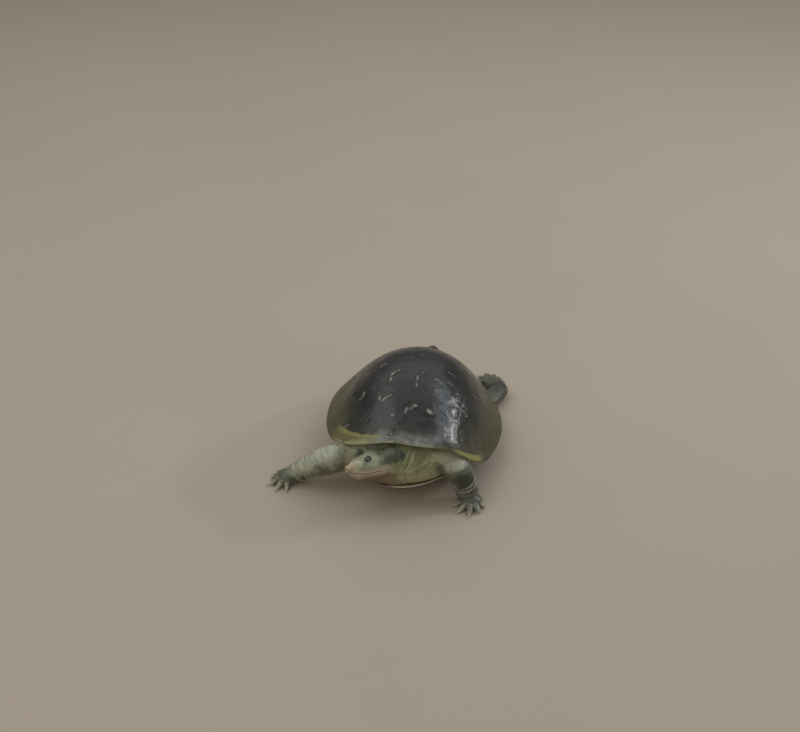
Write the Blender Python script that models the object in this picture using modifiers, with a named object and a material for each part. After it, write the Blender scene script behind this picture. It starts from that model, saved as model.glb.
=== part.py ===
"""An Indian flapshell turtle, a soft-shelled pond turtle, standing in mid-step with its neck half drawn in.

Lengths are in metres and +Z is up. The turtle faces -Y, its left side is at +X, and its soles lie at Z = 0.
Each limb and the neck are overlapping lofts fused into one skin. A piece that enters another one is cut from
it with a thin clearance, and each foot is parted from its leg by a plane.
"""

import math

import bmesh
import bpy
from mathutils import Matrix, Vector

GAP = 0.0003  # clearance between pieces that touch
EDGE_GROWTH = 2  # a shell edge is cleared by this many gaps

# Shell, in a level frame of its own with Z = 0 on the plastron's underside.
SHELL_HALF_WIDTH = 0.0835
SHELL_FRONT = 0.0975  # length from the middle to the front edge
SHELL_REAR = 0.1030
FRONT_POWER = 2.4  # squareness of the plan outline, where 2 is an ellipse
REAR_POWER = 1.97
REAR_SPREAD = 0.022  # how much wider the outline is behind than in front
CROWN_SHIFT = -0.007  # the crown lies ahead of the middle
DOME_RISE = 0.066  # crown above the level of the rim
DOME_POWER = 2.5
DOME_SKIRT = 1.13  # over 1, so that the dome runs out flat to a leathery margin
RIM_HEIGHT = 0.018
ARCH_RISE = 0.035  # the rim arches up over the neck and the left shoulder
ARCH_RIGHT_FOOT = math.radians(-62)  # angles from the front towards the left side
ARCH_RIGHT_TOP = math.radians(2)
ARCH_LEFT_TOP = math.radians(20)
ARCH_LEFT_FOOT = math.radians(66)
SHELL_THICKNESS = 0.003
SHELL_SEGMENTS = 40
SHELL_RINGS = (0.18, 0.36, 0.52, 0.66, 0.78, 0.88, 0.95, 1.0)
BOSS_PLACE = (0.003, 0.052)  # low knob on the rear slope
BOSS_HEIGHT = 0.0035
BOSS_SPREAD = 0.0055

SHELL_PITCH = math.radians(4.7)  # front end raised
SHELL_ROLL = math.radians(5.2)  # left side lowered
ROLL_HEIGHT = 0.030  # the roll turns about this height
SHELL_PIVOT = 0.0735  # the pitch turns about this Y
SHELL_LIFT = 0.0045

PLASTRON_HALF_WIDTH = 0.0640
PLASTRON_FRONT = 0.0985
PLASTRON_REAR = 0.0820
PLASTRON_FRONT_POWER = 2.0
PLASTRON_REAR_POWER = 2.0
PLASTRON_REAR_TAPER = 0.20
PLASTRON_SIDE_RISE = 0.0068
PLASTRON_REAR_RISE = 0.0010
PLASTRON_DIP = 0.80  # share of the rise that is lost under the head
PLASTRON_DIP_PLACE = math.radians(-15)  # from the front towards the left side
PLASTRON_DIP_SPREAD = math.radians(30)
PLASTRON_LIP = 0.0026  # extra rise at the left front
PLASTRON_LIP_PLACE = math.radians(45)
PLASTRON_LIP_SPREAD = math.radians(22)
PLASTRON_THICKNESS = 0.003
PLASTRON_SEGMENTS = 36
PLASTRON_RINGS = (0.50, 0.85, 1.0)

FLAP_START = math.radians(18)
FLAP_END = math.radians(74)
FLAP_REACH = 0.92  # outer edge, as a share of the shell's outline
FLAP_THICKNESS = 0.0016
FLAP_END_WIDTH = 0.08  # width at its ends, as a share of the width in the middle
FLAP_ROUNDING = 0.6
FLAP_RISE = 0.001  # its outer edge above its hinge
FLAP_STEPS = 10

# Trunk, which fills the shell and closes the sides with skin.
TRUNK_CLEARANCE = 0.0015  # under the dome
TRUNK_FLOOR_CLEARANCE = 0.0008  # over the plastron, whose facets stand a little above its true curve
TRUNK_SEGMENTS = 32
TRUNK_TOP_RINGS = (0.25, 0.48, 0.67, 0.82, 0.93)
TRUNK_BOTTOM_RINGS = (0.965, 0.50)
TRUNK_FRONT_RECESS = 0.24  # leaves room for the neck and shoulders

# Head, in its own frame: distance behind the snout's tip, half width, top and bottom.
SNOUT_TIP = Vector((-0.0421, -0.1135, 0.0491))
HEAD_YAW = math.radians(39)
HEAD_PITCH = math.radians(-8.6)
HEAD_ROLL = math.radians(12)
HEAD_SECTIONS = (
    (0.0000, 0.0025, 0.0023, -0.0025),
    (0.0006, 0.0030, 0.0028, -0.0030),
    (0.0040, 0.0033, 0.0032, -0.0036),
    (0.0060, 0.0052, 0.0040, -0.0088),
    (0.0095, 0.0078, 0.0052, -0.0120),
    (0.0140, 0.0100, 0.0066, -0.0140),
    (0.0200, 0.0126, 0.0080, -0.0153),
    (0.0260, 0.0149, 0.0095, -0.0162),
    (0.0330, 0.0171, 0.0110, -0.0168),
    (0.0400, 0.0180, 0.0120, -0.0170),
    (0.0480, 0.0175, 0.0122, -0.0170),
    (0.0560, 0.0166, 0.0118, -0.0165),
)
HEAD_ROUNDNESS = 2.3
EYE_RADIUS = 0.0034
EYE_BEHIND = 0.0199
EYE_ASIDE = 0.0059
EYE_ABOVE = 0.0048

# Flesh lofts: each station is a centre x, y, z, a half width and a half height.
NECK_STATIONS = (
    (0.010, -0.038, 0.042, 0.025, 0.018),
    (0.010, -0.056, 0.044, 0.027, 0.020),
    (0.007, -0.069, 0.045, 0.0265, 0.0205),
    (-0.001, -0.079, 0.046, 0.0235, 0.0195),
    (-0.010, -0.085, 0.0465, 0.0190, 0.0170),
)
NECK_FOLD_STATIONS = (
    (-0.058, -0.062, 0.036, 0.006, 0.005),
    (-0.047, -0.069, 0.0430, 0.007, 0.006),
    (-0.033, -0.0755, 0.0500, 0.0075, 0.006),
    (-0.019, -0.0810, 0.0560, 0.0075, 0.006),
    (-0.004, -0.0830, 0.0590, 0.007, 0.006),
)
THROAT_STATIONS = (
    (0.036, -0.058, 0.037, 0.0130, 0.0110),
    (0.028, -0.074, 0.0355, 0.0135, 0.0115),
    (0.012, -0.082, 0.034, 0.0140, 0.0115),
    (-0.006, -0.087, 0.0325, 0.0135, 0.0110),
    (-0.022, -0.086, 0.031, 0.0120, 0.0100),
)
COLLAR_STATIONS = (
    (0.008, -0.078, 0.046, 0.0090, 0.0100),
    (0.022, -0.076, 0.046, 0.0090, 0.0100),
    (0.034, -0.073, 0.044, 0.0090, 0.0100),
    (0.045, -0.068, 0.040, 0.0090, 0.0095),
)
TAIL_STATIONS = (
    (0.000, 0.062, 0.0150, 0.0120, 0.0070),
    (0.000, 0.078, 0.0130, 0.0090, 0.0052),
    (0.000, 0.092, 0.0120, 0.0068, 0.0044),
    (-0.001, 0.104, 0.0105, 0.0046, 0.0040),
    (-0.003, 0.114, 0.0088, 0.0028, 0.0026),
    (-0.004, 0.121, 0.0075, 0.0014, 0.0014),
)
LEG_STATIONS = {
    "front_left": (
        (0.036, -0.050, 0.038, 0.0120, 0.0110),
        (0.040, -0.062, 0.039, 0.0125, 0.0118),
        (0.047, -0.072, 0.0365, 0.0125, 0.0125),
        (0.0545, -0.0750, 0.0280, 0.0120, 0.0120),
        (0.0590, -0.0755, 0.0170, 0.0108, 0.0108),
        (0.0625, -0.0785, 0.0080, 0.0100, 0.0092),
    ),
    "front_right": (
        (-0.034, -0.056, 0.040, 0.0145, 0.0140),
        (-0.045, -0.069, 0.0375, 0.0145, 0.0140),
        (-0.060, -0.0775, 0.0320, 0.0145, 0.0140),
        (-0.076, -0.079, 0.0245, 0.0130, 0.0128),
        (-0.088, -0.0785, 0.0175, 0.0103, 0.0103),
        (-0.097, -0.0790, 0.0110, 0.0095, 0.0088),
        (-0.105, -0.0805, 0.0062, 0.0100, 0.0068),
    ),
    "rear_left": (
        (0.034, 0.042, 0.0190, 0.0130, 0.0100),
        (0.050, 0.058, 0.0130, 0.0120, 0.0066),
        (0.061, 0.071, 0.0105, 0.0110, 0.0058),
        (0.0685, 0.084, 0.0096, 0.0095, 0.0072),
        (0.0690, 0.094, 0.0078, 0.0086, 0.0070),
        (0.0650, 0.103, 0.0052, 0.0095, 0.0055),
    ),
    "rear_right": (
        (-0.032, 0.030, 0.0260, 0.0130, 0.0100),
        (-0.048, 0.043, 0.0215, 0.0120, 0.0078),
        (-0.061, 0.052, 0.0170, 0.0110, 0.0075),
        (-0.070, 0.060, 0.0125, 0.0098, 0.0080),
        (-0.0735, 0.068, 0.0085, 0.0090, 0.0070),
        (-0.0740, 0.076, 0.0052, 0.0095, 0.0055),
    ),
}

# Feet: palm centre, heading of the middle digit from -Y towards +X, and the fan's half spread, in degrees.
# The turn is 1 where the fan runs from the first, innermost digit towards larger headings.
FRONT_DIGITS = (0.0128, 0.0148, 0.0152, 0.0146, 0.0132)
REAR_DIGITS = (0.0190, 0.0235, 0.0245, 0.0220, 0.0170)
FEET = {
    "front_left": {
        "palm": (0.0650, -0.0815), "heading": 5, "spread": 70, "turn": 1, "digits": FRONT_DIGITS
    },
    "front_right": {
        "palm": (-0.1070, -0.0810), "heading": -55, "spread": 68, "turn": -1, "digits": FRONT_DIGITS
    },
    "rear_left": {
        "palm": (0.0640, 0.1035), "heading": 210, "spread": 38, "turn": -1, "digits": REAR_DIGITS
    },
    "rear_right": {
        "palm": (-0.0735, 0.0770), "heading": 178, "spread": 38, "turn": 1, "digits": REAR_DIGITS
    },
}
PALM_HALF_SIZE = (0.0108, 0.0095, 0.0070)
PALM_HEIGHT = 0.0045
DIGIT_SHARES = (0.25, 0.55, 0.80, 1.0)  # stations along a digit, and its radii and heights there
DIGIT_RADII = (0.0036, 0.0030, 0.0026, 0.0020)
DIGIT_TIP_HEIGHT = 0.0023
DIGIT_HEIGHTS = (0.0050, 0.0052, 0.0038, DIGIT_TIP_HEIGHT)
DIGIT_SEGMENTS = 12
DIGIT_STEPS = 3
WEB_REACH = 0.84  # share of the digit that the web covers
WEB_SCALLOP = 0.14
WEB_BOTTOM = 0.0012
WEB_TOP = 0.0034
WEB_STEPS = 4
CLAWED_DIGITS = 3
CLAW_LENGTH = 0.0054
CLAW_RADIUS = 0.00120
CLAW_TIP_RADIUS = 0.00035
CLAW_TIP_HEIGHT = 0.0010
CLAW_RAISE = 0.0006  # a claw leaves its digit above the middle of the tip
CLAW_TAPER = 1.3
CLAW_SEGMENTS = 6
CLAW_RINGS = 3

# Wrists and ankles: a point on the cut that parts foot from leg, and the direction across it.
WRISTS = {
    "front_left": ((0.0592, -0.0757, 0.0165), (0.30, -0.12, -1.0)),
    "front_right": ((-0.0945, -0.0788, 0.0128), (-0.82, 0.0, -0.57)),
    "rear_left": ((0.0690, 0.0905, 0.0085), (0.0, 1.0, -0.2)),
    "rear_right": ((-0.0725, 0.0650, 0.0095), (-0.3, 1.0, -0.5)),
}
WRIST_CUTTER_SIZE = 0.16
FLOOR_SCALE = 2  # widens the same box so that it underlies the whole animal

# Fused skins: the grid that fuses overlapping lofts, and the triangles that each one is thinned to.
VOXEL = 0.0008
SMOOTH_STEPS = 3
LIMB_TRIANGLES = 470
NECK_TRIANGLES = 400
STEPS_PER_SPAN = 4
LOFT_SEGMENTS = 20
LOFT_END = 0.55  # how far a loft's rounded end stands out, as a share of its half height
LOFT_END_SIZE = 0.6
TAIL_SEGMENTS = 10
TAIL_STEPS = 2
HEAD_SEGMENTS = 20
HEAD_STEPS = 1
HEAD_LENGTH = 0.047  # the head ends inside the collar
SHARP_ANGLE = math.radians(40)


def superellipse(angle, power):
    """Distance from the middle to a rounded square's outline, where a power of 2 gives a circle."""
    return (abs(math.cos(angle)) ** power + abs(math.sin(angle)) ** power) ** (-1 / power)


def outline(angle):
    """Plan outline of the shell, as x and y, at an angle where -90 degrees is the front."""
    s = math.sin(angle)
    radius = superellipse(angle, FRONT_POWER if s < 0 else REAR_POWER)
    length = SHELL_FRONT if s < 0 else SHELL_REAR
    return radius * math.cos(angle) * SHELL_HALF_WIDTH * (1 + REAR_SPREAD * s), radius * s * length


def arch(angle):
    """How far the rim is raised at an angle: an arch over the neck that is wider on the left side."""
    off = math.atan2(math.cos(angle), -math.sin(angle))
    from_right = (off - ARCH_RIGHT_FOOT) / (ARCH_RIGHT_TOP - ARCH_RIGHT_FOOT)
    from_left = (ARCH_LEFT_FOOT - off) / (ARCH_LEFT_FOOT - ARCH_LEFT_TOP)
    t = max(0.0, min(1.0, from_right, from_left))
    return ARCH_RISE * t * t * (3 - 2 * t)


def dome_point(share, angle):
    """Point of the carapace's outer surface at a share of the way from crown to rim."""
    x, y = outline(angle)
    inner = min(share, 1.0)
    x *= share
    y = y * share + CROWN_SHIFT * (1 - inner**2)
    height = RIM_HEIGHT + arch(angle) * inner**4 + DOME_RISE * (1 - inner**DOME_POWER) ** DOME_SKIRT
    off = ((x - BOSS_PLACE[0]) ** 2 + (y - BOSS_PLACE[1]) ** 2) / BOSS_SPREAD**2
    return Vector((x, y, height + BOSS_HEIGHT * math.exp(-off)))


def dome_inside(share, angle, depth):
    """Point a depth under the carapace's outer surface, measured square to it."""
    step = 0.01
    along = dome_point(share + step, angle) - dome_point(share - step, angle)
    around = dome_point(share, angle + step) - dome_point(share, angle - step)
    return dome_point(share, angle) - along.cross(around).normalized() * depth


def plastron_outline(angle):
    """Plan outline of the plastron: a broad round front lobe and a narrower rear."""
    s = math.sin(angle)
    radius = superellipse(angle, PLASTRON_FRONT_POWER if s < 0 else PLASTRON_REAR_POWER)
    length = PLASTRON_FRONT if s < 0 else PLASTRON_REAR
    width = PLASTRON_HALF_WIDTH * (1 - PLASTRON_REAR_TAPER * max(s, 0.0))
    return radius * math.cos(angle) * width, radius * s * length


def plastron_point(share, angle):
    """Point of the plastron's underside at a share of the way from its centre to its edge."""
    x, y = plastron_outline(angle)
    rear = max(math.sin(angle), 0.0)
    off = math.atan2(math.cos(angle), -math.sin(angle))
    dip = PLASTRON_DIP * math.exp(-(((off - PLASTRON_DIP_PLACE) / PLASTRON_DIP_SPREAD) ** 2))
    lip = PLASTRON_LIP * math.exp(-(((off - PLASTRON_LIP_PLACE) / PLASTRON_LIP_SPREAD) ** 2))
    side = PLASTRON_SIDE_RISE * (1 - dip) + lip
    rise = side + (PLASTRON_REAR_RISE - side) * rear
    return Vector((x * share, y * share, rise * share**4))


def shell_to_world(point):
    """Carries a point of the shell's level frame to where the shell stands, with its front raised."""
    return SHELL_MATRIX @ point


SHELL_MATRIX = (
    Matrix.Translation((0, SHELL_PIVOT, SHELL_LIFT))
    @ Matrix.Rotation(-SHELL_PITCH, 4, "X")
    @ Matrix.Translation((0, -SHELL_PIVOT, ROLL_HEIGHT))
    @ Matrix.Rotation(SHELL_ROLL, 4, "Y")
    @ Matrix.Translation((0, 0, -ROLL_HEIGHT))
)


def head_axes():
    """Forward, left and up directions of the head."""
    level = math.cos(HEAD_PITCH)
    forward = Vector((-math.sin(HEAD_YAW) * level, -math.cos(HEAD_YAW) * level, -math.sin(HEAD_PITCH)))
    left = Vector((math.cos(HEAD_YAW), -math.sin(HEAD_YAW), 0))
    up = forward.cross(left)
    up = up if up.z > 0 else -up
    turned_left = left * math.cos(HEAD_ROLL) + up * math.sin(HEAD_ROLL)
    turned_up = up * math.cos(HEAD_ROLL) - left * math.sin(HEAD_ROLL)
    return forward, turned_left, turned_up


def head_point(behind, aside, above):
    """World point from a place in the head's frame."""
    forward, left, up = head_axes()
    return SNOUT_TIP - forward * behind + left * aside + up * above


def add_rings(bm, rings):
    """Adds a closed body that joins rings of equal count, each end closed by a fan to the ring's middle."""
    loops = [[bm.verts.new(point) for point in ring] for ring in rings]
    count = len(loops[0])
    for near, far in zip(loops, loops[1:]):
        for i in range(count):
            j = (i + 1) % count
            bm.faces.new((near[i], near[j], far[j], far[i]))
    for loop, flip in ((loops[0], True), (loops[-1], False)):
        middle = bm.verts.new(sum((v.co for v in loop), Vector()) / count)
        for i in range(count):
            j = (i + 1) % count
            bm.faces.new((loop[j], loop[i], middle) if flip else (loop[i], loop[j], middle))


def spline(values, steps):
    """Catmull-Rom curve through equal-length tuples, as a list with a number of steps per span."""
    points = [Vector(v) for v in values]
    points = [points[0] * 2 - points[1]] + points + [points[-1] * 2 - points[-2]]
    curve = []
    for a, b, c, d in zip(points, points[1:], points[2:], points[3:]):
        for k in range(steps):
            t = k / steps
            square = (a * 2 - b * 5 + c * 4 - d) * t**2
            cube = (b * 3 - a - c * 3 + d) * t**3
            curve.append((b * 2 + (c - a) * t + square + cube) / 2)
    curve.append(points[-2])
    return curve


def add_loft(bm, stations, segments=LOFT_SEGMENTS, steps=STEPS_PER_SPAN):
    """Adds a closed tube through stations of x, y, z, half width and half height, with rounded ends."""
    curve = spline([s[:3] for s in stations], steps)
    sizes = spline([(s[3], s[4], 0) for s in stations], steps)
    rings = []
    last = len(curve) - 1
    side = None
    for k, (centre, size) in enumerate(zip(curve, sizes)):
        ahead = (curve[min(k + 1, last)] - curve[max(k - 1, 0)]).normalized()
        level = Vector((0, 0, 1)).cross(ahead)
        side = level.normalized() if side is None else (side - ahead * side.dot(ahead)).normalized()
        above = ahead.cross(side)
        ring = []
        for i in range(segments):
            a = 2 * math.pi * i / segments
            ring.append(side * size.x * math.cos(a) + above * size.y * math.sin(a))
        if k == 0:
            rings.append([centre - ahead * size.y * LOFT_END + p * LOFT_END_SIZE for p in ring])
        rings.append([centre + p for p in ring])
        if k == last:
            rings.append([centre + ahead * size.y * LOFT_END + p * LOFT_END_SIZE for p in ring])
    add_rings(bm, rings)


def add_head(bm, grow=0.0):
    """Adds the head: a wedge that narrows to the eyes and ends in a short tubular snout."""
    rings = []
    sections = spline([section + (0,) for section in HEAD_SECTIONS], HEAD_STEPS)
    for behind, half_width, top, bottom, _ in sections:
        if behind > HEAD_LENGTH:
            break
        ring = []
        for i in range(HEAD_SEGMENTS):
            angle = 2 * math.pi * i / HEAD_SEGMENTS
            radius = superellipse(angle, HEAD_ROUNDNESS)
            aside = -(half_width + grow) * radius * math.cos(angle)
            above = (top + bottom) / 2 + ((top - bottom) / 2 + grow) * radius * math.sin(angle)
            ring.append(head_point(behind, aside, above))
        rings.append(ring)
    push = head_axes()[0] * grow
    rings[0] = [point + push for point in rings[0]]
    rings[-1] = [point - push for point in rings[-1]]
    add_rings(bm, rings)


def add_trunk(bm):
    """Adds the trunk: under the dome above, over the plastron below, and skin round the side."""
    rings = []
    angles = [2 * math.pi * i / TRUNK_SEGMENTS for i in range(TRUNK_SEGMENTS)]
    recess = [1 - TRUNK_FRONT_RECESS * max(-math.sin(a), 0.0) for a in angles]
    for share in TRUNK_TOP_RINGS:
        depth = SHELL_THICKNESS + TRUNK_CLEARANCE
        rings.append([shell_to_world(dome_inside(share * r, a, depth)) for a, r in zip(angles, recess)])
    lift = Vector((0, 0, PLASTRON_THICKNESS + TRUNK_FLOOR_CLEARANCE))
    for share in TRUNK_BOTTOM_RINGS:
        rings.append([shell_to_world(plastron_point(share * r, a) + lift) for a, r in zip(angles, recess)])
    add_rings(bm, rings)


def digit_direction(foot, place):
    """Level direction at a place along the fan of digits, from 0 at the first, innermost digit."""
    share = place / (len(foot["digits"]) - 1) * 2 - 1
    angle = math.radians(foot["heading"] + foot["turn"] * foot["spread"] * share)
    return Vector((math.sin(angle), -math.cos(angle), 0))


def palm_centre(foot):
    """Middle of a foot's sole."""
    return Vector((foot["palm"][0], foot["palm"][1], 0))


def add_foot(bm, foot):
    """Adds a foot: a flat palm, five digits fanned out and the web between them."""
    centre = palm_centre(foot)
    heading = math.radians(foot["heading"])
    turn = Matrix.Translation(centre + Vector((0, 0, PALM_HEIGHT))) @ Matrix.Rotation(heading, 4, "Z")
    turn = turn @ Matrix.Diagonal((*PALM_HALF_SIZE, 1))
    bmesh.ops.create_uvsphere(bm, u_segments=20, v_segments=12, radius=1, matrix=turn)
    count = len(foot["digits"])
    for index, length in enumerate(foot["digits"]):
        ahead = digit_direction(foot, index)
        stations = [
            (*(centre + ahead * length * share).xy, z, r, r)
            for share, z, r in zip(DIGIT_SHARES, DIGIT_HEIGHTS, DIGIT_RADII)
        ]
        add_loft(bm, stations, segments=DIGIT_SEGMENTS, steps=DIGIT_STEPS)
    edge = []
    for k in range((count - 1) * WEB_STEPS + 1):
        place = k / WEB_STEPS
        index = min(int(place), count - 2)
        part = place - index
        length = foot["digits"][index] * (1 - part) + foot["digits"][index + 1] * part
        reach = length * (WEB_REACH - WEB_SCALLOP * math.sin(math.pi * part))
        edge.append(centre + digit_direction(foot, place) * reach)
    edge.append(centre - digit_direction(foot, (count - 1) / 2) * PALM_HALF_SIZE[1] / 2)
    add_rings(bm, [[p + Vector((0, 0, z)) for p in edge] for z in (WEB_BOTTOM, WEB_TOP)])


def add_claw(bm, foot, index, grow=0.0):
    """Adds one claw: a slim cone that leaves the digit's tip and curves down."""
    ahead = digit_direction(foot, index)
    root = palm_centre(foot) + ahead * (foot["digits"][index] - grow)
    side = Vector((0, 0, 1)).cross(ahead)
    start = DIGIT_TIP_HEIGHT + CLAW_RAISE
    rings = []
    for k in range(CLAW_RINGS + 1):
        share = k / CLAW_RINGS
        radius = CLAW_RADIUS + (CLAW_TIP_RADIUS - CLAW_RADIUS) * share**CLAW_TAPER + grow
        height = start + (CLAW_TIP_HEIGHT - start) * share**2
        centre = root + ahead * (CLAW_LENGTH + grow * 2) * share + Vector((0, 0, height))
        ring = []
        for i in range(CLAW_SEGMENTS):
            a = 2 * math.pi * (i + 0.5) / CLAW_SEGMENTS
            ring.append(centre + side * radius * math.cos(a) + Vector((0, 0, radius * math.sin(a))))
        rings.append(ring)
    add_rings(bm, rings)


def clear_scene():
    """Empties the scene."""
    for thing in list(bpy.data.objects):
        bpy.data.objects.remove(thing)


def make_collection(name):
    """New collection in the scene."""
    collection = bpy.data.collections.new(name)
    bpy.context.scene.collection.children.link(collection)
    return collection


def make_material(name, colour, roughness):
    """Principled material of one colour."""
    material = bpy.data.materials.new(name)
    material.use_nodes = True
    shader = material.node_tree.nodes["Principled BSDF"]
    shader.inputs["Base Color"].default_value = (*colour, 1)
    shader.inputs["Roughness"].default_value = roughness
    shader.inputs["Metallic"].default_value = 0.0
    material.diffuse_color = (*colour, 1)
    return material


def triangle_mesh(name, bm):
    """Mesh of flat triangles made from a bmesh, which is freed."""
    bmesh.ops.triangulate(bm, faces=bm.faces)
    mesh = bpy.data.meshes.new(name)
    bm.to_mesh(mesh)
    bm.free()
    return mesh


def mesh_object(name, bm, collection, material=None):
    """Object made from a closed bmesh, which is freed. Its faces are turned outwards."""
    bmesh.ops.recalc_face_normals(bm, faces=bm.faces)
    mesh = triangle_mesh(name, bm)
    thing = bpy.data.objects.new(name, mesh)
    collection.objects.link(thing)
    if material:
        mesh.materials.append(material)
    return thing


def make_cutter(thing):
    """Marks an object as a tool that isn't a part."""
    thing.hide_render = True
    thing.display_type = "WIRE"
    return thing


def add_solidify(thing, thickness, grow):
    """Gives an open surface its thickness under its face side, grown by a clearance on both sides."""
    solidify = thing.modifiers.new("Thickness", "SOLIDIFY")
    solidify.thickness = thickness + 2 * grow
    solidify.offset = 2 * grow / solidify.thickness - 1
    solidify.use_even_offset = True
    return thing


def polar_surface(point, segments, shares, upward):
    """Bmesh of an open round surface, from a function of share and angle."""
    bm = bmesh.new()
    middle = bm.verts.new(point(0.0, 0.0))
    inner = None
    for share in shares:
        loop = [bm.verts.new(point(share, 2 * math.pi * i / segments)) for i in range(segments)]
        for i in range(segments):
            j = (i + 1) % segments
            corners = (middle, loop[i], loop[j]) if inner is None else (inner[i], loop[i], loop[j], inner[j])
            bm.faces.new(corners if upward else corners[::-1])
        inner = loop
    return bm


def surface_object(name, bm, collection, material=None):
    """Object from an open surface whose faces already point the right way."""
    mesh = triangle_mesh(name, bm)
    thing = bpy.data.objects.new(name, mesh)
    collection.objects.link(thing)
    if material:
        mesh.materials.append(material)
    thing.matrix_world = SHELL_MATRIX
    return thing


def grown_edge(grow, half_width):
    """One more ring outside a plate's edge for a cutter, or none for the plate itself."""
    return (1.0 + EDGE_GROWTH * grow / half_width,) if grow else ()


def make_carapace(name, collection, material=None, grow=0.0):
    """The leathery upper shell."""
    bm = polar_surface(dome_point, SHELL_SEGMENTS, SHELL_RINGS + grown_edge(grow, SHELL_HALF_WIDTH), True)
    return add_solidify(surface_object(name, bm, collection, material), SHELL_THICKNESS, grow)


def make_plastron(name, collection, material=None, grow=0.0):
    """The lower shell: a shallow plate with its edge turned up."""
    rings = PLASTRON_RINGS + grown_edge(grow, PLASTRON_HALF_WIDTH)
    bm = polar_surface(plastron_point, PLASTRON_SEGMENTS, rings, False)
    return add_solidify(surface_object(name, bm, collection, material), PLASTRON_THICKNESS, grow)


def make_flap(name, side, collection, material=None, grow=0.0):
    """A skin flap beside the plastron's rear, under the thigh, on the left where side is 1."""
    bm = bmesh.new()
    rows = []
    for k in range(FLAP_STEPS + 1):
        share = k / FLAP_STEPS
        angle = FLAP_START + (FLAP_END - FLAP_START) * share
        hinge = plastron_point(1.0, angle)
        x, y = outline(angle)
        outer = Vector((x * FLAP_REACH, y * FLAP_REACH, hinge.z + FLAP_RISE))
        across = outer - hinge
        width = FLAP_END_WIDTH + (1 - FLAP_END_WIDTH) * math.sin(math.pi * share) ** FLAP_ROUNDING
        first = hinge + across.normalized() * (GAP * 1.5 - grow)
        last = hinge + across * width + across.normalized() * grow
        row = [first.lerp(last, t) for t in (0.0, 0.5, 1.0)]
        rows.append([bm.verts.new((p.x * side, p.y, p.z)) for p in row])
    for near, far in zip(rows, rows[1:]):
        for i in range(2):
            corners = (near[i], near[i + 1], far[i + 1], far[i])
            bm.faces.new(corners[::-1] if side > 0 else corners)
    return add_solidify(surface_object(name, bm, collection, material), FLAP_THICKNESS, grow)


def make_eye(name, side, collection, material=None, grow=0.0):
    """An eyeball, sunk in the head."""
    bm = bmesh.new()
    place = Matrix.Translation(head_point(EYE_BEHIND, side * EYE_ASIDE, EYE_ABOVE))
    bmesh.ops.create_uvsphere(bm, u_segments=12, v_segments=8, radius=EYE_RADIUS + grow, matrix=place)
    return mesh_object(name, bm, collection, material)


def half_space(name, place, across, collection):
    """A large box over everything beyond a plane, in the direction across it, from half a gap before it."""
    direction = Vector(across).normalized()
    turn = direction.to_track_quat("Z", "Y").to_matrix().to_4x4()
    centre = Vector(place) + direction * (WRIST_CUTTER_SIZE - GAP) / 2
    bm = bmesh.new()
    bmesh.ops.create_cube(bm, size=WRIST_CUTTER_SIZE, matrix=Matrix.Translation(centre) @ turn)
    return make_cutter(mesh_object(name, bm, collection))


def cut(thing, *cutters):
    """Takes the cutters' volumes away from an object."""
    for cutter in cutters:
        boolean = thing.modifiers.new(cutter.name, "BOOLEAN")
        boolean.operation = "DIFFERENCE"
        boolean.solver = "EXACT"
        boolean.object = cutter


def evaluated_mesh(thing):
    """New mesh of an object as its modifiers leave it."""
    graph = bpy.context.evaluated_depsgraph_get()
    return bpy.data.meshes.new_from_object(thing.evaluated_get(graph))


def fuse(name, bm, triangles, collection):
    """Makes overlapping closed shapes one smooth body of about so many triangles, kept as a guide."""
    guide = make_cutter(mesh_object(name, bm, collection))
    remesh = guide.modifiers.new("Fuse", "REMESH")
    remesh.mode = "VOXEL"
    remesh.voxel_size = VOXEL
    smooth = guide.modifiers.new("Smooth", "SMOOTH")
    smooth.iterations = SMOOTH_STEPS
    fused = evaluated_mesh(guide)
    guide.modifiers.clear()
    guide.data = fused
    decimate = guide.modifiers.new("Thin", "DECIMATE")
    decimate.ratio = triangles / (2 * len(fused.polygons))
    thinned = evaluated_mesh(guide)
    guide.modifiers.clear()
    guide.data = thinned
    return guide


def grown(guide, collection):
    """Copy of a guide swollen by the clearance, to cut its neighbours with."""
    cutter = make_cutter(bpy.data.objects.new(guide.name + "_cutter", guide.data))
    collection.objects.link(cutter)
    swell = cutter.modifiers.new("Swell", "DISPLACE")
    swell.strength = GAP
    swell.mid_level = 0.0
    return cutter


def flesh_object(name, mesh, collection, material):
    """A node of flesh, shaded smooth but for its cut edges."""
    thing = bpy.data.objects.new(name, mesh)
    collection.objects.link(thing)
    mesh.materials.clear()
    mesh.materials.append(material)
    mesh.shade_smooth()
    mesh.set_sharp_from_angle(angle=SHARP_ANGLE)
    return thing


def stand_on_origin(root, things):
    """Moves the whole object so that its bounding box's bottom centre is the origin."""
    points = []
    for thing in things:
        mesh = evaluated_mesh(thing)
        points += [thing.matrix_world @ vertex.co for vertex in mesh.vertices]
        bpy.data.meshes.remove(mesh)
    low = [min(point[i] for point in points) for i in range(3)]
    high = [max(point[i] for point in points) for i in range(3)]
    root.location = (-(low[0] + high[0]) / 2, -(low[1] + high[1]) / 2, -low[2])


def make_claws(foot_name, foot, parts, tools, material):
    """The claws of one foot, and their cutters."""
    cutters = []
    for index in range(CLAWED_DIGITS):
        bm = bmesh.new()
        add_claw(bm, foot, index)
        mesh_object(f"claw_{foot_name}_{index + 1}", bm, parts, material)
        bm = bmesh.new()
        add_claw(bm, foot, index, grow=GAP)
        cutters.append(make_cutter(mesh_object(f"claw_cutter_{foot_name}_{index + 1}", bm, tools)))
    return cutters


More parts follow.
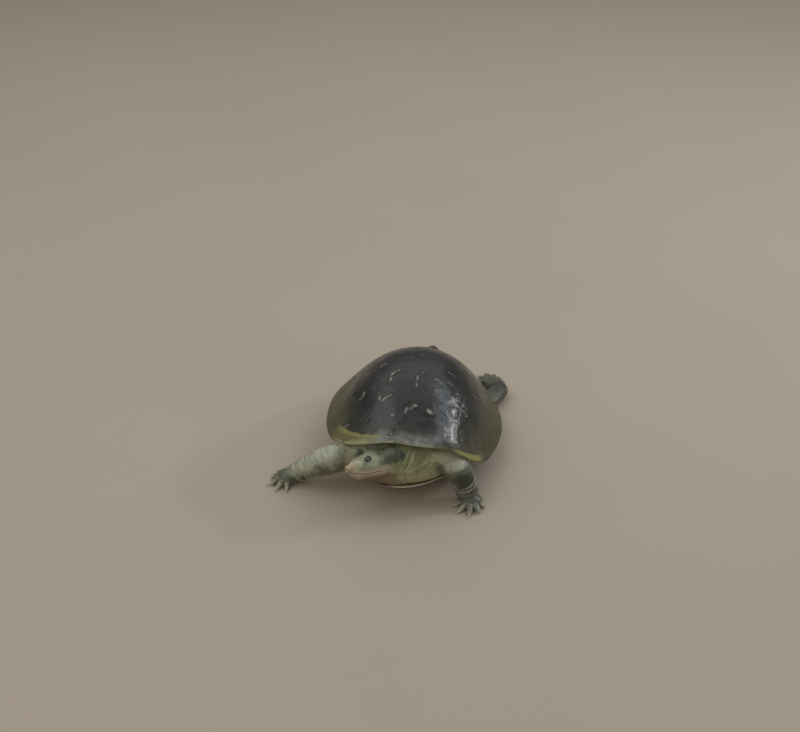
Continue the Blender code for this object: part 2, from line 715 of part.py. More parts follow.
def make_limb(name, parts, tools, skin, horn, neighbours, floor):
    """One leg and its foot, with the claws. Returns the cutter that the trunk gives way to."""
    bm = bmesh.new()
    add_loft(bm, LEG_STATIONS[name])
    add_foot(bm, FEET[name])
    guide = fuse("limb_" + name, bm, LIMB_TRIANGLES, tools)
    place, across = WRISTS[name]
    leg = flesh_object("leg_" + name, guide.data, parts, skin)
    cut(leg, half_space("foot_side_" + name, place, across, tools), *neighbours)
    foot = flesh_object("foot_" + name, guide.data, parts, skin)
    claws = make_claws(name, FEET[name], parts, tools, horn)
    cut(foot, half_space("leg_side_" + name, place, -Vector(across), tools), floor, *claws)
    return grown(guide, tools)


def make_neck(parts, tools, skin, neighbours):
    """The neck and the loose collar of skin round it. Returns the cutter that its neighbours give way to."""
    bm = bmesh.new()
    add_loft(bm, NECK_STATIONS)
    add_loft(bm, NECK_FOLD_STATIONS)
    add_loft(bm, THROAT_STATIONS)
    add_loft(bm, COLLAR_STATIONS)
    guide = fuse("neck_guide", bm, NECK_TRIANGLES, tools)
    cut(flesh_object("neck", guide.data, parts, skin), *neighbours)
    return grown(guide, tools)


def make_head(parts, tools, skin, neighbours):
    """The head, with sockets for the eyes and clear of the plastron under its jaw. Returns its cutter."""
    bm = bmesh.new()
    add_head(bm)
    bmesh.ops.recalc_face_normals(bm, faces=bm.faces)
    cut(flesh_object("head", triangle_mesh("head", bm), parts, skin), *neighbours)
    bm = bmesh.new()
    add_head(bm, grow=GAP)
    return make_cutter(mesh_object("head_cutter", bm, tools))


def make_tail(parts, tools, skin, neighbours):
    """The short tail. Returns its cutter."""
    bm = bmesh.new()
    add_loft(bm, TAIL_STATIONS, segments=TAIL_SEGMENTS, steps=TAIL_STEPS)
    guide = make_cutter(mesh_object("tail_guide", bm, tools))
    cut(flesh_object("tail", guide.data, parts, skin), *neighbours)
    return grown(guide, tools)


def make_trunk(parts, skin, neighbours):
    """The trunk, which gives way to everything that enters it."""
    bm = bmesh.new()
    add_trunk(bm)
    bmesh.ops.recalc_face_normals(bm, faces=bm.faces)
    cut(flesh_object("trunk", triangle_mesh("trunk", bm), parts, skin), *neighbours)


def main():
    """Builds the turtle."""
    clear_scene()
    parts = make_collection("flapshell_turtle")
    tools = make_collection("cutters")
    shell_skin = make_material("shell_skin", (0.045, 0.052, 0.045), 0.3)
    belly_skin = make_material("belly_skin", (0.70, 0.66, 0.48), 0.45)
    body_skin = make_material("body_skin", (0.16, 0.20, 0.13), 0.5)
    eye_surface = make_material("eye_surface", (0.02, 0.02, 0.015), 0.1)
    claw_horn = make_material("claw_horn", (0.62, 0.52, 0.40), 0.35)

    make_carapace("carapace", parts, shell_skin)
    make_plastron("plastron", parts, belly_skin)
    shells = [make_cutter(make_carapace("carapace_cutter", tools, grow=GAP))]
    shells.append(make_cutter(make_plastron("plastron_cutter", tools, grow=GAP)))
    eyes = []
    for side_name, side in (("left", 1), ("right", -1)):
        make_flap("flap_" + side_name, side, parts, belly_skin)
        shells.append(make_cutter(make_flap("flap_cutter_" + side_name, side, tools, grow=GAP)))
        make_eye("eye_" + side_name, side, parts, eye_surface)
        eyes.append(make_cutter(make_eye("eye_cutter_" + side_name, side, tools, grow=GAP)))

    floor = half_space("floor_cutter", (0, 0, -GAP / 2), (0, 0, -1), tools)
    floor.scale = (FLOOR_SCALE, FLOOR_SCALE, 1)
    head = make_head(parts, tools, body_skin, [*eyes, shells[1]])
    neck = make_neck(parts, tools, body_skin, [head, *shells])
    around = [head, neck, *shells]
    limbs = [make_limb(name, parts, tools, body_skin, claw_horn, around, floor) for name in FEET]
    tail = make_tail(parts, tools, body_skin, shells)
    make_trunk(parts, body_skin, [neck, tail, *limbs])

    root = bpy.data.objects.new("turtle_root", None)
    parts.objects.link(root)
    bodies = [thing for thing in parts.objects if thing.type == "MESH"]
    stand_on_origin(root, bodies)
    for thing in list(parts.objects) + list(tools.objects):
        if thing is not root:
            thing.parent = root


main()
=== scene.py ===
"""An Indian flapshell turtle in mid-step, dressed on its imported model.

Lengths are in metres and +Z is up. The turtle faces -Y and its left side is at +X. One skin covers the head,
neck, trunk, tail, legs and feet. The shells, flaps, eyes and claws are pieces of their own.
"""

import logging
import math
from dataclasses import dataclass, field
from enum import Enum
from typing import Any, Callable, Sequence

import bmesh
import bpy
import numpy as np
from bmesh.types import BMesh
from bpy.types import Material, Mesh, NodeTree, Object
from mathutils import Matrix, Vector


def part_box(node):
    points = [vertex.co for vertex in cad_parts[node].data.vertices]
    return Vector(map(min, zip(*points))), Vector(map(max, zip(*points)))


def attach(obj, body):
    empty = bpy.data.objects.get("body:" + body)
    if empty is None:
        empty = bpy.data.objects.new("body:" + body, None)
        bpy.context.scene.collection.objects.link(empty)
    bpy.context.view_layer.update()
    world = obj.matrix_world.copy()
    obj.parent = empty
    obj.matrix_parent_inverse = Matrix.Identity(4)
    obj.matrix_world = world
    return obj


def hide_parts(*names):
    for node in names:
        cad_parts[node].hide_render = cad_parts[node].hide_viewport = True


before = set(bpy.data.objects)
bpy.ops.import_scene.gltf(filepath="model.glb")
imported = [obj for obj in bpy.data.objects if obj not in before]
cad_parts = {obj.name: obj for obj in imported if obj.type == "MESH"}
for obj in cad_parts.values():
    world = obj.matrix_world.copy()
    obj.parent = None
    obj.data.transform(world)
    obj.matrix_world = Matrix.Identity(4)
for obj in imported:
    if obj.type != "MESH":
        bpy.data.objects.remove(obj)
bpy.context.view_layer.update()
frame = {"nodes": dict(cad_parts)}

LOG = logging.getLogger("flapshell")
Colour = tuple[float, float, float]
Station = tuple[float, ...]
Points = np.ndarray
MM = 0.001
POLE = 0.004  # share of the way to the rim at which a round grid starts, so that its faces keep some area
FAR_SHARE = 4.0  # stands for any place well outside a mark
LATTICE_SHIFT = 1000.0  # keeps a noise's cells at positive numbers
LOFT_STEPS = 6  # rings for each span of a loft
END_TAPER = 0.6  # size of a loft's last ring, as a share of the one before
MERGE = 1e-6  # points nearer than this are one
SIDES = (1.0, -1.0)  # left and right


class Limb(Enum):
    """The four limbs, by the ending of their nodes' names."""

    FRONT_LEFT = "front_left"
    FRONT_RIGHT = "front_right"
    REAR_LEFT = "rear_left"
    REAR_RIGHT = "rear_right"


class Slot(Enum):
    """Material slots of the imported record."""

    SHELL = "shell_skin"
    BELLY = "belly_skin"
    BODY = "body_skin"
    EYE = "eye_surface"
    CLAW = "claw_horn"


# ---- small maths ----


def superellipse(angle: Points, power: Points | float) -> Points:
    """Distance from the middle to a rounded square's outline.

    Args:
        angle: Direction in radians.
        power: Squareness, where 2 gives a circle.

    Returns:
        The distance for each angle, for half widths of one.
    """
    return (np.abs(np.cos(angle)) ** power + np.abs(np.sin(angle)) ** power) ** (-1 / power)


def smooth(low: float, high: float, value: Points) -> Points:
    """Smooth step from 0 at low to 1 at high.

    Args:
        low: Value where the step begins. It may be over high, and the step then falls.
        high: Value where it ends.
        value: Values to map.

    Returns:
        The step for each value.
    """
    t = np.clip((value - low) / (high - low), 0.0, 1.0)
    return t * t * (3 - 2 * t)


def bell(off: Points, spread: float) -> Points:
    """Bell curve that is 1 at no offset and falls off over the spread."""
    return np.exp(-((off / spread) ** 2))


def lattice_noise(points: Points, size: float, seed: int) -> Points:
    """Soft noise between -1 and 1, the same on every run.

    Args:
        points: Places, as an array of x, y and z.
        size: Distance between the lattice's values.
        seed: Which lattice.

    Returns:
        One value for each place.
    """
    grid = points / size + LATTICE_SHIFT
    cell = np.floor(grid).astype(np.int64)
    part = grid - cell
    part = part * part * (3 - 2 * part)
    total = np.zeros(len(points))
    for corner in range(8):
        step = np.array([corner & 1, corner >> 1 & 1, corner >> 2 & 1])
        place = cell + step
        mixed = place[:, 0] * 73856093 ^ place[:, 1] * 19349663 ^ place[:, 2] * 83492791 ^ seed * 2654435761
        mixed = (mixed ^ mixed >> 13) * 1274126177 & 0x7FFFFFFF
        value = (mixed % 65536) / 32768.0 - 1.0
        weight = np.where(step == 1, part, 1 - part).prod(axis=1)
        total += value * weight
    return total


def spline(values: Sequence[Station], steps: int) -> Points:
    """Catmull-Rom curve through rows of numbers.

    Args:
        values: Rows of equal length.
        steps: Points for each span.

    Returns:
        The curve's rows, the last one included.
    """
    rows = np.array(values, float)
    rows = np.vstack([rows[0] * 2 - rows[1], rows, rows[-1] * 2 - rows[-2]])
    t = np.arange(steps)[:, None] / steps
    curve = []
    for a, b, c, d in zip(rows, rows[1:], rows[2:], rows[3:]):
        slope, bend, twist = c - a, a * 2 - b * 5 + c * 4 - d, b * 3 - a - c * 3 + d
        curve.append((b * 2 + slope * t + bend * t**2 + twist * t**3) / 2)
    return np.vstack([*curve, rows[-2][None]])


def middle_line(stations: Sequence[Station]) -> Points:
    """Smooth middle line of a loft's stations."""
    return spline([row[:3] for row in stations], LOFT_STEPS)


def in_mm(*rows: Station) -> tuple[Station, ...]:
    """Rows given in millimetres, as rows in metres."""
    return tuple(tuple(value / 1000 for value in row) for row in rows)


def round_grid(shares: Points, columns: int) -> tuple[Points, Points]:
    """Share and direction at each place of a grid that runs from a middle to a rim.

    Args:
        shares: Share of the way to the rim, for each row.
        columns: How many places stand round each row.

    Returns:
        The shares and the angles, as rows and columns.
    """
    angle = np.linspace(0, 2 * np.pi, columns, endpoint=False)
    return tuple(np.broadcast_arrays(shares[:, None], angle[None, :]))


@dataclass(frozen=True)
class Path:
    """A limb's middle line, for measuring places on the skin along it."""

    line: Points

    def measure(self, points: Points) -> tuple[Points, Points, Points]:
        """Finds where each point lies along the line.

        Args:
            points: Places near the line.

        Returns:
            Length along the line, distance from it, and the direction away from it.
        """
        steps = np.linalg.norm(np.diff(self.line, axis=0), axis=1)
        lengths = np.concatenate([[0.0], np.cumsum(steps)])
        best = np.full(len(points), np.inf)
        along = np.zeros(len(points))
        foot = np.zeros_like(points)
        for start, end, length, before in zip(self.line, self.line[1:], steps, lengths):
            way = (end - start) / length
            t = np.clip((points - start) @ way, 0.0, length)
            near = start + t[:, None] * way
            gap = np.linalg.norm(points - near, axis=1)
            closer = gap < best
            best = np.where(closer, gap, best)
            along = np.where(closer, before + t, along)
            foot[closer] = near[closer]
        return along, best, (points - foot) / np.maximum(best, 1e-9)[:, None]


# ---- mesh making ----


def add_rings(bm: BMesh, rings: Sequence[Points]) -> None:
    """Adds a closed body that joins rings of equal count, its ends closed by fans.

    Args:
        bm: Mesh that receives the body.
        rings: Arrays of points, one for each ring.
    """
    loops = [[bm.verts.new(point) for point in ring] for ring in rings]
    count = len(loops[0])
    for near, far in zip(loops, loops[1:]):
        for i in range(count):
            j = (i + 1) % count
            bm.faces.new((near[i], near[j], far[j], far[i]))
    for loop, points, turned in ((loops[0], rings[0], True), (loops[-1], rings[-1], False)):
        middle = bm.verts.new(np.mean(points, axis=0))
        for i in range(count):
            j = (i + 1) % count
            bm.faces.new((loop[j], loop[i], middle) if turned else (loop[i], loop[j], middle))


def add_loft(
    bm: BMesh,
    stations: Sequence[Station],
    segments: int = 28,
    steps: int = LOFT_STEPS,
    end: float = 0.55,
) -> None:
    """Adds a closed tube with rounded ends.

    Args:
        bm: Mesh that receives the tube.
        stations: Rows of x, y, z, half width and half height.
        segments: Points round the tube.
        steps: Rings for each span between stations.
        end: How far the rounded ends stand out, as a share of the half height.
    """
    curve = spline(stations, steps)
    centres, sizes = curve[:, :3], curve[:, 3:]
    turn = 2 * np.pi * np.arange(segments) / segments
    rings = []
    side = None
    last = len(curve) - 1
    for k in range(last + 1):
        ahead = centres[min(k + 1, last)] - centres[max(k - 1, 0)]
        ahead = ahead / np.linalg.norm(ahead)
        side = np.cross((0, 0, 1), ahead) if side is None else side - ahead * (side @ ahead)
        side = side / np.linalg.norm(side)
        above = np.cross(ahead, side)
        ring = np.outer(np.cos(turn) * sizes[k, 0], side) + np.outer(np.sin(turn) * sizes[k, 1], above)
        if k == 0:
            rings.append(centres[k] - ahead * sizes[k, 1] * end + ring * END_TAPER)
        rings.append(centres[k] + ring)
        if k == last:
            rings.append(centres[k] + ahead * sizes[k, 1] * end + ring * END_TAPER)
    add_rings(bm, rings)


def vertex_vectors(data: bpy.types.bpy_prop_collection, key: str) -> Points:
    """Reads a vector for each vertex of a mesh.

    Args:
        data: The mesh's vertices or their normals.
        key: Name of the vector.

    Returns:
        The vectors as rows.
    """
    flat = np.zeros(len(data) * 3, np.float32)
    data.foreach_get(key, flat)
    return flat.reshape(-1, 3).astype(float)


def coordinates(mesh: Mesh) -> Points:
    """A mesh's vertices as an array."""
    return vertex_vectors(mesh.vertices, "co")


def normals(mesh: Mesh) -> Points:
    """A mesh's vertex normals as an array."""
    return vertex_vectors(mesh.vertex_normals, "vector")


def move_vertices(mesh: Mesh, points: Points) -> None:
    """Puts a mesh's vertices at new places."""
    mesh.vertices.foreach_set("co", points.astype(np.float32).ravel())
    mesh.update()


def store(mesh: Mesh, name: str, values: Points) -> None:
    """Writes one number or one vector for each vertex.

    Args:
        mesh: Mesh that receives the attribute.
        name: The attribute's name, which a material reads.
        values: One row for each vertex.
    """
    kind, key = ("FLOAT_VECTOR", "vector") if values.ndim == 2 else ("FLOAT", "value")
    attribute = mesh.attributes.new(name, kind, "POINT")
    attribute.data.foreach_set(key, values.astype(np.float32).ravel())


def store_directions(mesh: Mesh, angle: Points, rows: int) -> None:
    """Writes which way each vertex of a round grid lies: bearing is 1 at the front, side 1 at the left.

    Args:
        mesh: Mesh of the grid.
        angle: Direction of each column.
        rows: The grid's rows.
    """
    store(mesh, "bearing", np.tile(-np.sin(angle), rows))
    store(mesh, "side", np.tile(np.cos(angle), rows))


def new_object(name: str, mesh: Mesh) -> Object:
    """Makes an object at the origin.

    Args:
        name: The object's name.
        mesh: Mesh that it holds.

    Returns:
        The object, in the scene.
    """
    thing = bpy.data.objects.new(name, mesh)
    bpy.context.scene.collection.objects.link(thing)
    return thing


def grid_mesh(name: str, grid: Points, closed: bool) -> Mesh:
    """Mesh of a grid of points, where the columns may close into a round.

    Args:
        name: The mesh's name.
        grid: Points as rows, columns and coordinates.
        closed: Whether the last column joins the first.

    Returns:
        The mesh, open at its first and last rows.
    """
    rows, columns = grid.shape[:2]
    index = np.arange(rows * columns).reshape(rows, columns)
    right = np.roll(index, -1, axis=1) if closed else index[:, 1:]
    left = index if closed else index[:, :-1]
    faces = np.stack([left[:-1], right[:-1], right[1:], left[1:]], axis=-1).reshape(-1, 4)
    mesh = bpy.data.meshes.new(name)
    mesh.from_pydata(grid.reshape(-1, 3).tolist(), [], faces.tolist())
    return mesh


def close_mesh(mesh: Mesh) -> None:
    """Fills a mesh's open ends, and turns its faces outwards.

    Args:
        mesh: The mesh.
    """
    bm = bmesh.new()
    bm.from_mesh(mesh)
    bmesh.ops.remove_doubles(bm, verts=bm.verts, dist=MERGE)
    bmesh.ops.holes_fill(bm, edges=[edge for edge in bm.edges if edge.is_boundary])
    bmesh.ops.recalc_face_normals(bm, faces=bm.faces)
    bm.to_mesh(mesh)
    bm.free()


def evaluated(thing: Object) -> Mesh:
    """New mesh of an object as its modifiers leave it."""
    graph = bpy.context.evaluated_depsgraph_get()
    return bpy.data.meshes.new_from_object(thing.evaluated_get(graph))


def settle(thing: Object) -> None:
    """Makes an object's modifiers part of its mesh.

    Args:
        thing: The object.
    """
    result = evaluated(thing)
    thing.modifiers.clear()
    thing.data = result


def finish_piece(thing: Object, nodes: Sequence[str], material: Material) -> None:
    """Dresses a piece and ties it to the frame.

    Args:
        thing: The piece, at the origin.
        nodes: Nodes that it stands for.
        material: The finish that shows.
    """
    thing.data.materials.clear()
    thing.data.materials.append(material)
    thing.data.shade_smooth()
    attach(thing, "root")
    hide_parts(*nodes)
    LOG.info("%s: %d faces, for %s", thing.name, len(thing.data.polygons), ", ".join(nodes))


# ---- shader maths ----


def math_method(operation: str, turned: bool = False) -> Callable[..., "Signal"]:
    """Makes a method that adds a Math node.

    Args:
        operation: The node's operation.
        turned: Whether the signal is the second value, as it is in 1 - signal.

    Returns:
        The method.
    """

    def method(signal: "Signal", *others: Any) -> "Signal":
        """Adds the node."""
        values = (*others, signal) if turned else (signal, *others)
        return signal.graph.node("ShaderNodeMath", {"operation": operation}, dict(enumerate(values)))

    return method


class Signal:
    """One value in a shader. Arithmetic on it adds Math nodes."""

    __add__, __radd__ = math_method("ADD"), math_method("ADD", turned=True)
    __sub__, __rsub__ = math_method("SUBTRACT"), math_method("SUBTRACT", turned=True)
    __mul__ = math_method("MULTIPLY")
    __pow__ = math_method("POWER")
    __abs__ = math_method("ABSOLUTE")
    least, most = math_method("MINIMUM"), math_method("MAXIMUM")

    def __init__(self, graph: "Graph", socket: bpy.types.NodeSocket) -> None:
        """Wraps an output socket of a graph."""
        self.graph = graph
        self.socket = socket

    def step(self, low: float, high: float) -> "Signal":
        """Smooth step.

        Args:
            low: Value at which it is 0. It may be over high, and the step then falls.
            high: Value at which it is 1.

        Returns:
            The step.
        """
        span = {"Value": self, "From Min": min(low, high), "From Max": max(low, high)}
        rise = self.graph.node("ShaderNodeMapRange", {"interpolation_type": "SMOOTHSTEP"}, span)
        return rise if low < high else 1 - rise


MIX_FACTOR, MIX_FIRST, MIX_SECOND, MIX_RESULT = 0, 6, 7, 2  # sockets of a Mix node that blends colours


class Graph:
    """The node tree of one material."""

    def __init__(self, name: str) -> None:
        """Makes an empty material.

        Args:
            name: The material's name.
        """
        self.material = bpy.data.materials.new(name)
        self.material.use_nodes = True
        self.tree = self.material.node_tree
        self.tree.nodes.clear()

    def node(
        self,
        kind: str,
        settings: dict[str, Any] | None = None,
        inputs: dict[Any, Any] | None = None,
        output: Any = 0,
    ) -> Signal:
        """Adds a node.

        Args:
            kind: The node's type.
            settings: The node's properties.
            inputs: Values or signals, by socket name or number.
            output: Name or number of the output to return.

        Returns:
            The signal of that output.
        """
        made = self.tree.nodes.new(kind)
        for key, value in (settings or {}).items():
            setattr(made, key, value)
        for key, value in (inputs or {}).items():
            if isinstance(value, Signal):
                self.tree.links.new(value.socket, made.inputs[key])
            else:
                made.inputs[key].default_value = value
        return Signal(self, made.outputs[output])

    def place(self) -> Signal:
        """Object coordinates."""
        return self.node("ShaderNodeTexCoord", output="Object")

    def attribute(self, name: str, output: str = "Fac") -> Signal:
        """An attribute of the mesh."""
        return self.node("ShaderNodeAttribute", {"attribute_name": name}, output=output)

    def attributes(self, *names: str) -> list[Signal]:
        """Numbers that the mesh stores under these names."""
        return [self.attribute(name) for name in names]

    def noise(self, size: float, detail: float = 3.0, rough: float = 0.55) -> Signal:
        """Fractal noise from 0 to 1.

        Args:
            size: Size of its largest patches, in metres.
            detail: Octaves.
            rough: Strength of the fine octaves.

        Returns:
            The noise.
        """
        inputs = {"Vector": self.place(), "Scale": 1 / size, "Detail": detail, "Roughness": rough}
        return self.node("ShaderNodeTexNoise", None, inputs)

    def cells(self, size: float, feature: str) -> Signal:
        """Cell pattern.

        Args:
            size: Size of a cell, in metres.
            feature: What is measured.

        Returns:
            Distance from a cell's middle.
        """
        inputs = {"Vector": self.place(), "Scale": 1 / size}
        return self.node("ShaderNodeTexVoronoi", {"feature": feature}, inputs, "Distance")

    def mix(self, factor: Signal | float, first: Any, second: Any) -> Signal:
        """Blend of two colours.

        Args:
            factor: Share of the second.
            first: Signal or three numbers.
            second: Signal or three numbers.

        Returns:
            The blended colour.
        """
        inputs = {MIX_FACTOR: factor}
        for socket, value in ((MIX_FIRST, first), (MIX_SECOND, second)):
            inputs[socket] = value if isinstance(value, Signal) else (*value, 1.0)
        return self.node("ShaderNodeMix", {"data_type": "RGBA"}, inputs, MIX_RESULT)

    def bump(self, height: Signal, distance: float, strength: float, below: Signal | None = None) -> Signal:
        """Bump from a height.

        Args:
            height: Height, where 1 stands for the distance.
            distance: Height of 1, in metres.
            strength: Share of the effect.
            below: Normal of a coarser bump under this one.

        Returns:
            The normal.
        """
        inputs: dict[Any, Any] = {"Height": height, "Distance": distance, "Strength": strength}
        if below is not None:
            inputs["Normal"] = below
        return self.node("ShaderNodeBump", None, inputs)

    def shade(
        self, base: Signal, rough: Signal, normal: Signal, others: dict[str, Any] | None = None
    ) -> Material:
        """Ends the graph with its surface.

        Args:
            base: Its colour.
            rough: Its roughness.
            normal: Its normal, with its bumps.
            others: Values or signals for the shader's other sockets, by name.

        Returns:
            The finished material.
        """
        inputs = {**(others or {}), "Base Color": base, "Roughness": rough, "Normal": normal}
        surface = self.node("ShaderNodeBsdfPrincipled", None, inputs)
        end = self.tree.nodes.new("ShaderNodeOutputMaterial")
        self.tree.links.new(surface.socket, end.inputs["Surface"])
        return self.material


# ---- shells ----


@dataclass(frozen=True)
class Mark:
    """A streak of the pattern: its middle line in the shell's plan, in millimetres, and its width."""

    line: tuple[tuple[float, float], ...]
    width: float
    reach: float = 0.016

    def distance(self, plan: Points) -> Points:
        """Distance from the mark's middle line as a share of its half width, where 1 is its outline.

        Args:
            plan: Places in the shell's plan.

        Returns:
            The shares, or the far share well outside the mark.
        """
        line = np.array([(x * MM, y * MM, 0.0) for x, y in self.line])
        flat = plan * (1, 1, 0)
        near = (np.abs(flat[:, :2] - line[:, :2].mean(axis=0)) < self.reach).all(axis=1)
        size = np.full(len(plan), FAR_SHARE)
        size[near] = np.minimum(Path(line).measure(flat[near])[1] / (self.width * MM / 2), FAR_SHARE)
        return size


@dataclass(frozen=True)
class ShellShape:
    """The shells' shape, in a level frame of their own with Z = 0 at the plastron's underside."""

    half_width: float = 0.0835
    front: float = 0.0975
    rear: float = 0.1030
    front_power: float = 2.4
    rear_power: float = 1.97
    rear_spread: float = 0.022
    crown_shift: float = -0.007
    dome_rise: float = 0.066
    dome_power: float = 2.5
    dome_skirt: float = 1.13
    rim_height: float = 0.018
    arch_rise: float = 0.035
    arch_right_foot: float = math.radians(-62)
    arch_right_top: float = math.radians(2)
    arch_left_top: float = math.radians(20)
    arch_left_foot: float = math.radians(66)
    boss_place: tuple[float, float] = (0.003, 0.052)
    boss_height: float = 0.0035
    boss_spread: float = 0.0055
    plate_half_width: float = 0.0640
    plate_front: float = 0.0985
    plate_rear: float = 0.0820
    plate_front_power: float = 2.0
    plate_rear_power: float = 2.0
    plate_rear_taper: float = 0.20
    plate_side_rise: float = 0.0068
    plate_rear_rise: float = 0.0010
    plate_dip: float = 0.80
    plate_dip_place: float = math.radians(-15)
    plate_dip_spread: float = math.radians(30)
    plate_lip: float = 0.0026
    plate_lip_place: float = math.radians(45)
    plate_lip_spread: float = math.radians(22)
    plate_thickness: float = 0.0029
    pitch: float = math.radians(4.7)
    roll: float = math.radians(5.2)
    roll_height: float = 0.030
    pivot: float = 0.0735
    lift: float = 0.0045

    def outline(self, angle: Points) -> tuple[Points, Points]:
        """Plan outline of the carapace.

        Args:
            angle: Direction in the plan, where -90 degrees is the front.

        Returns:
            The outline's x and y.
        """
        s = np.sin(angle)
        radius = superellipse(angle, np.where(s < 0, self.front_power, self.rear_power))
        width = self.half_width * (1 + self.rear_spread * s)
        return radius * np.cos(angle) * width, radius * s * np.where(s < 0, self.front, self.rear)

    def arch(self, angle: Points) -> Points:
        """How far the rim is raised: an arch over the neck that is wider on the left side.

        Args:
            angle: Direction in the plan.

        Returns:
            The rise at each angle.
        """
        off = np.arctan2(np.cos(angle), -np.sin(angle))
        from_right = (off - self.arch_right_foot) / (self.arch_right_top - self.arch_right_foot)
        from_left = (self.arch_left_foot - off) / (self.arch_left_foot - self.arch_left_top)
        return self.arch_rise * smooth(0.0, 1.0, np.minimum(from_right, from_left))

    def dome(self, share: Points, angle: Points) -> Points:
        """Points of the carapace's outer surface.

        Args:
            share: Share of the way from crown to rim.
            angle: Direction in the plan.

        Returns:
            Points, with a last axis of x, y and z.
        """
        x, y = self.outline(angle)
        inner = np.minimum(share, 1.0)
        x = x * share
        y = y * share + self.crown_shift * (1 - inner**2)
        height = self.rim_height + self.arch(angle) * inner**4
        height = height + self.dome_rise * (1 - inner**self.dome_power) ** self.dome_skirt
        off = ((x - self.boss_place[0]) ** 2 + (y - self.boss_place[1]) ** 2) / self.boss_spread**2
        return np.stack([x, y, height + self.boss_height * np.exp(-off)], axis=-1)

    def outward(self, share: Points, angle: Points, step: float) -> tuple[Points, Points]:
        """Directions on the dome's surface.

        Args:
            share: Share of the way from crown to rim.
            angle: Direction in the plan.
            step: How far to each side the slope is measured.

        Returns:
            The way out of the surface, of length one, and the way towards the rim.
        """
        along = self.dome(share + step, angle) - self.dome(share - step, angle)
        around = self.dome(share, angle + step) - self.dome(share, angle - step)
        out = np.cross(along, around)
        return out / np.linalg.norm(out, axis=-1, keepdims=True), along

    def plate(self, share: Points, angle: Points) -> Points:
        """Points of the plastron's underside.

        Args:
            share: Share of the way from its middle to its edge.
            angle: Direction in the plan.

        Returns:
            Points, with a last axis of x, y and z.
        """
        s = np.sin(angle)
        radius = superellipse(angle, np.where(s < 0, self.plate_front_power, self.plate_rear_power))
        rear = np.maximum(s, 0.0)
        width = self.plate_half_width * (1 - self.plate_rear_taper * rear)
        x = radius * np.cos(angle) * width * share
        y = radius * s * np.where(s < 0, self.plate_front, self.plate_rear) * share
        off = np.arctan2(np.cos(angle), -np.sin(angle))
        dip = self.plate_dip * bell(off - self.plate_dip_place, self.plate_dip_spread)
        lip = self.plate_lip * bell(off - self.plate_lip_place, self.plate_lip_spread)
        side = self.plate_side_rise * (1 - dip) + lip
        rise = side + (self.plate_rear_rise - side) * rear
        return np.stack([x, y, rise * share**4], axis=-1)

    def matrix(self) -> Matrix:
        """Where the shell stands: its front raised and its left side lowered.

        Returns:
            The matrix from the shell's level frame.
        """
        return (
            Matrix.Translation((0, self.pivot, self.lift))
            @ Matrix.Rotation(-self.pitch, 4, "X")
            @ Matrix.Translation((0, -self.pivot, self.roll_height))
            @ Matrix.Rotation(self.roll, 4, "Y")
            @ Matrix.Translation((0, 0, -self.roll_height))
        )

    def stand(self, points: Points) -> Points:
        """Carries points of the shell's level frame to where it stands."""
        turn = np.array(self.matrix())
        return points @ turn[:3, :3].T + turn[:3, 3]

    def level(self, points: Points) -> Points:
        """Carries standing points back to the shell's level frame."""
        turn = np.array(self.matrix().inverted())
        return points @ turn[:3, :3].T + turn[:3, 3]


@dataclass(frozen=True)
class HeadFrame:
    """Where the head is held: measured behind the snout's tip, aside to its left, and above."""

    snout: tuple[float, float, float] = (-0.0421, -0.1135, 0.0491)
    yaw: float = math.radians(39)
    pitch: float = math.radians(-8.6)
    roll: float = math.radians(12)

    def axes(self) -> Points:
        """The head's own directions.

        Returns:
            Backward, left and up, as rows.
        """
        level = math.cos(self.pitch)
        forward = np.array([-math.sin(self.yaw) * level, -math.cos(self.yaw) * level, -math.sin(self.pitch)])
        left = np.array([math.cos(self.yaw), -math.sin(self.yaw), 0.0])
        up = np.cross(forward, left)
        up = up if up[2] > 0 else -up
        turned_left = left * math.cos(self.roll) + up * math.sin(self.roll)
        turned_up = up * math.cos(self.roll) - left * math.sin(self.roll)
        return np.array([-forward, turned_left, turned_up])

    def world(self, places: Points) -> Points:
        """Points from places given as behind, aside and above."""
        return np.array(self.snout) + np.asarray(places, float) @ self.axes()

    def local(self, points: Points) -> Points:
        """Places as behind, aside and above, from points."""
        return (points - np.array(self.snout)) @ self.axes().T


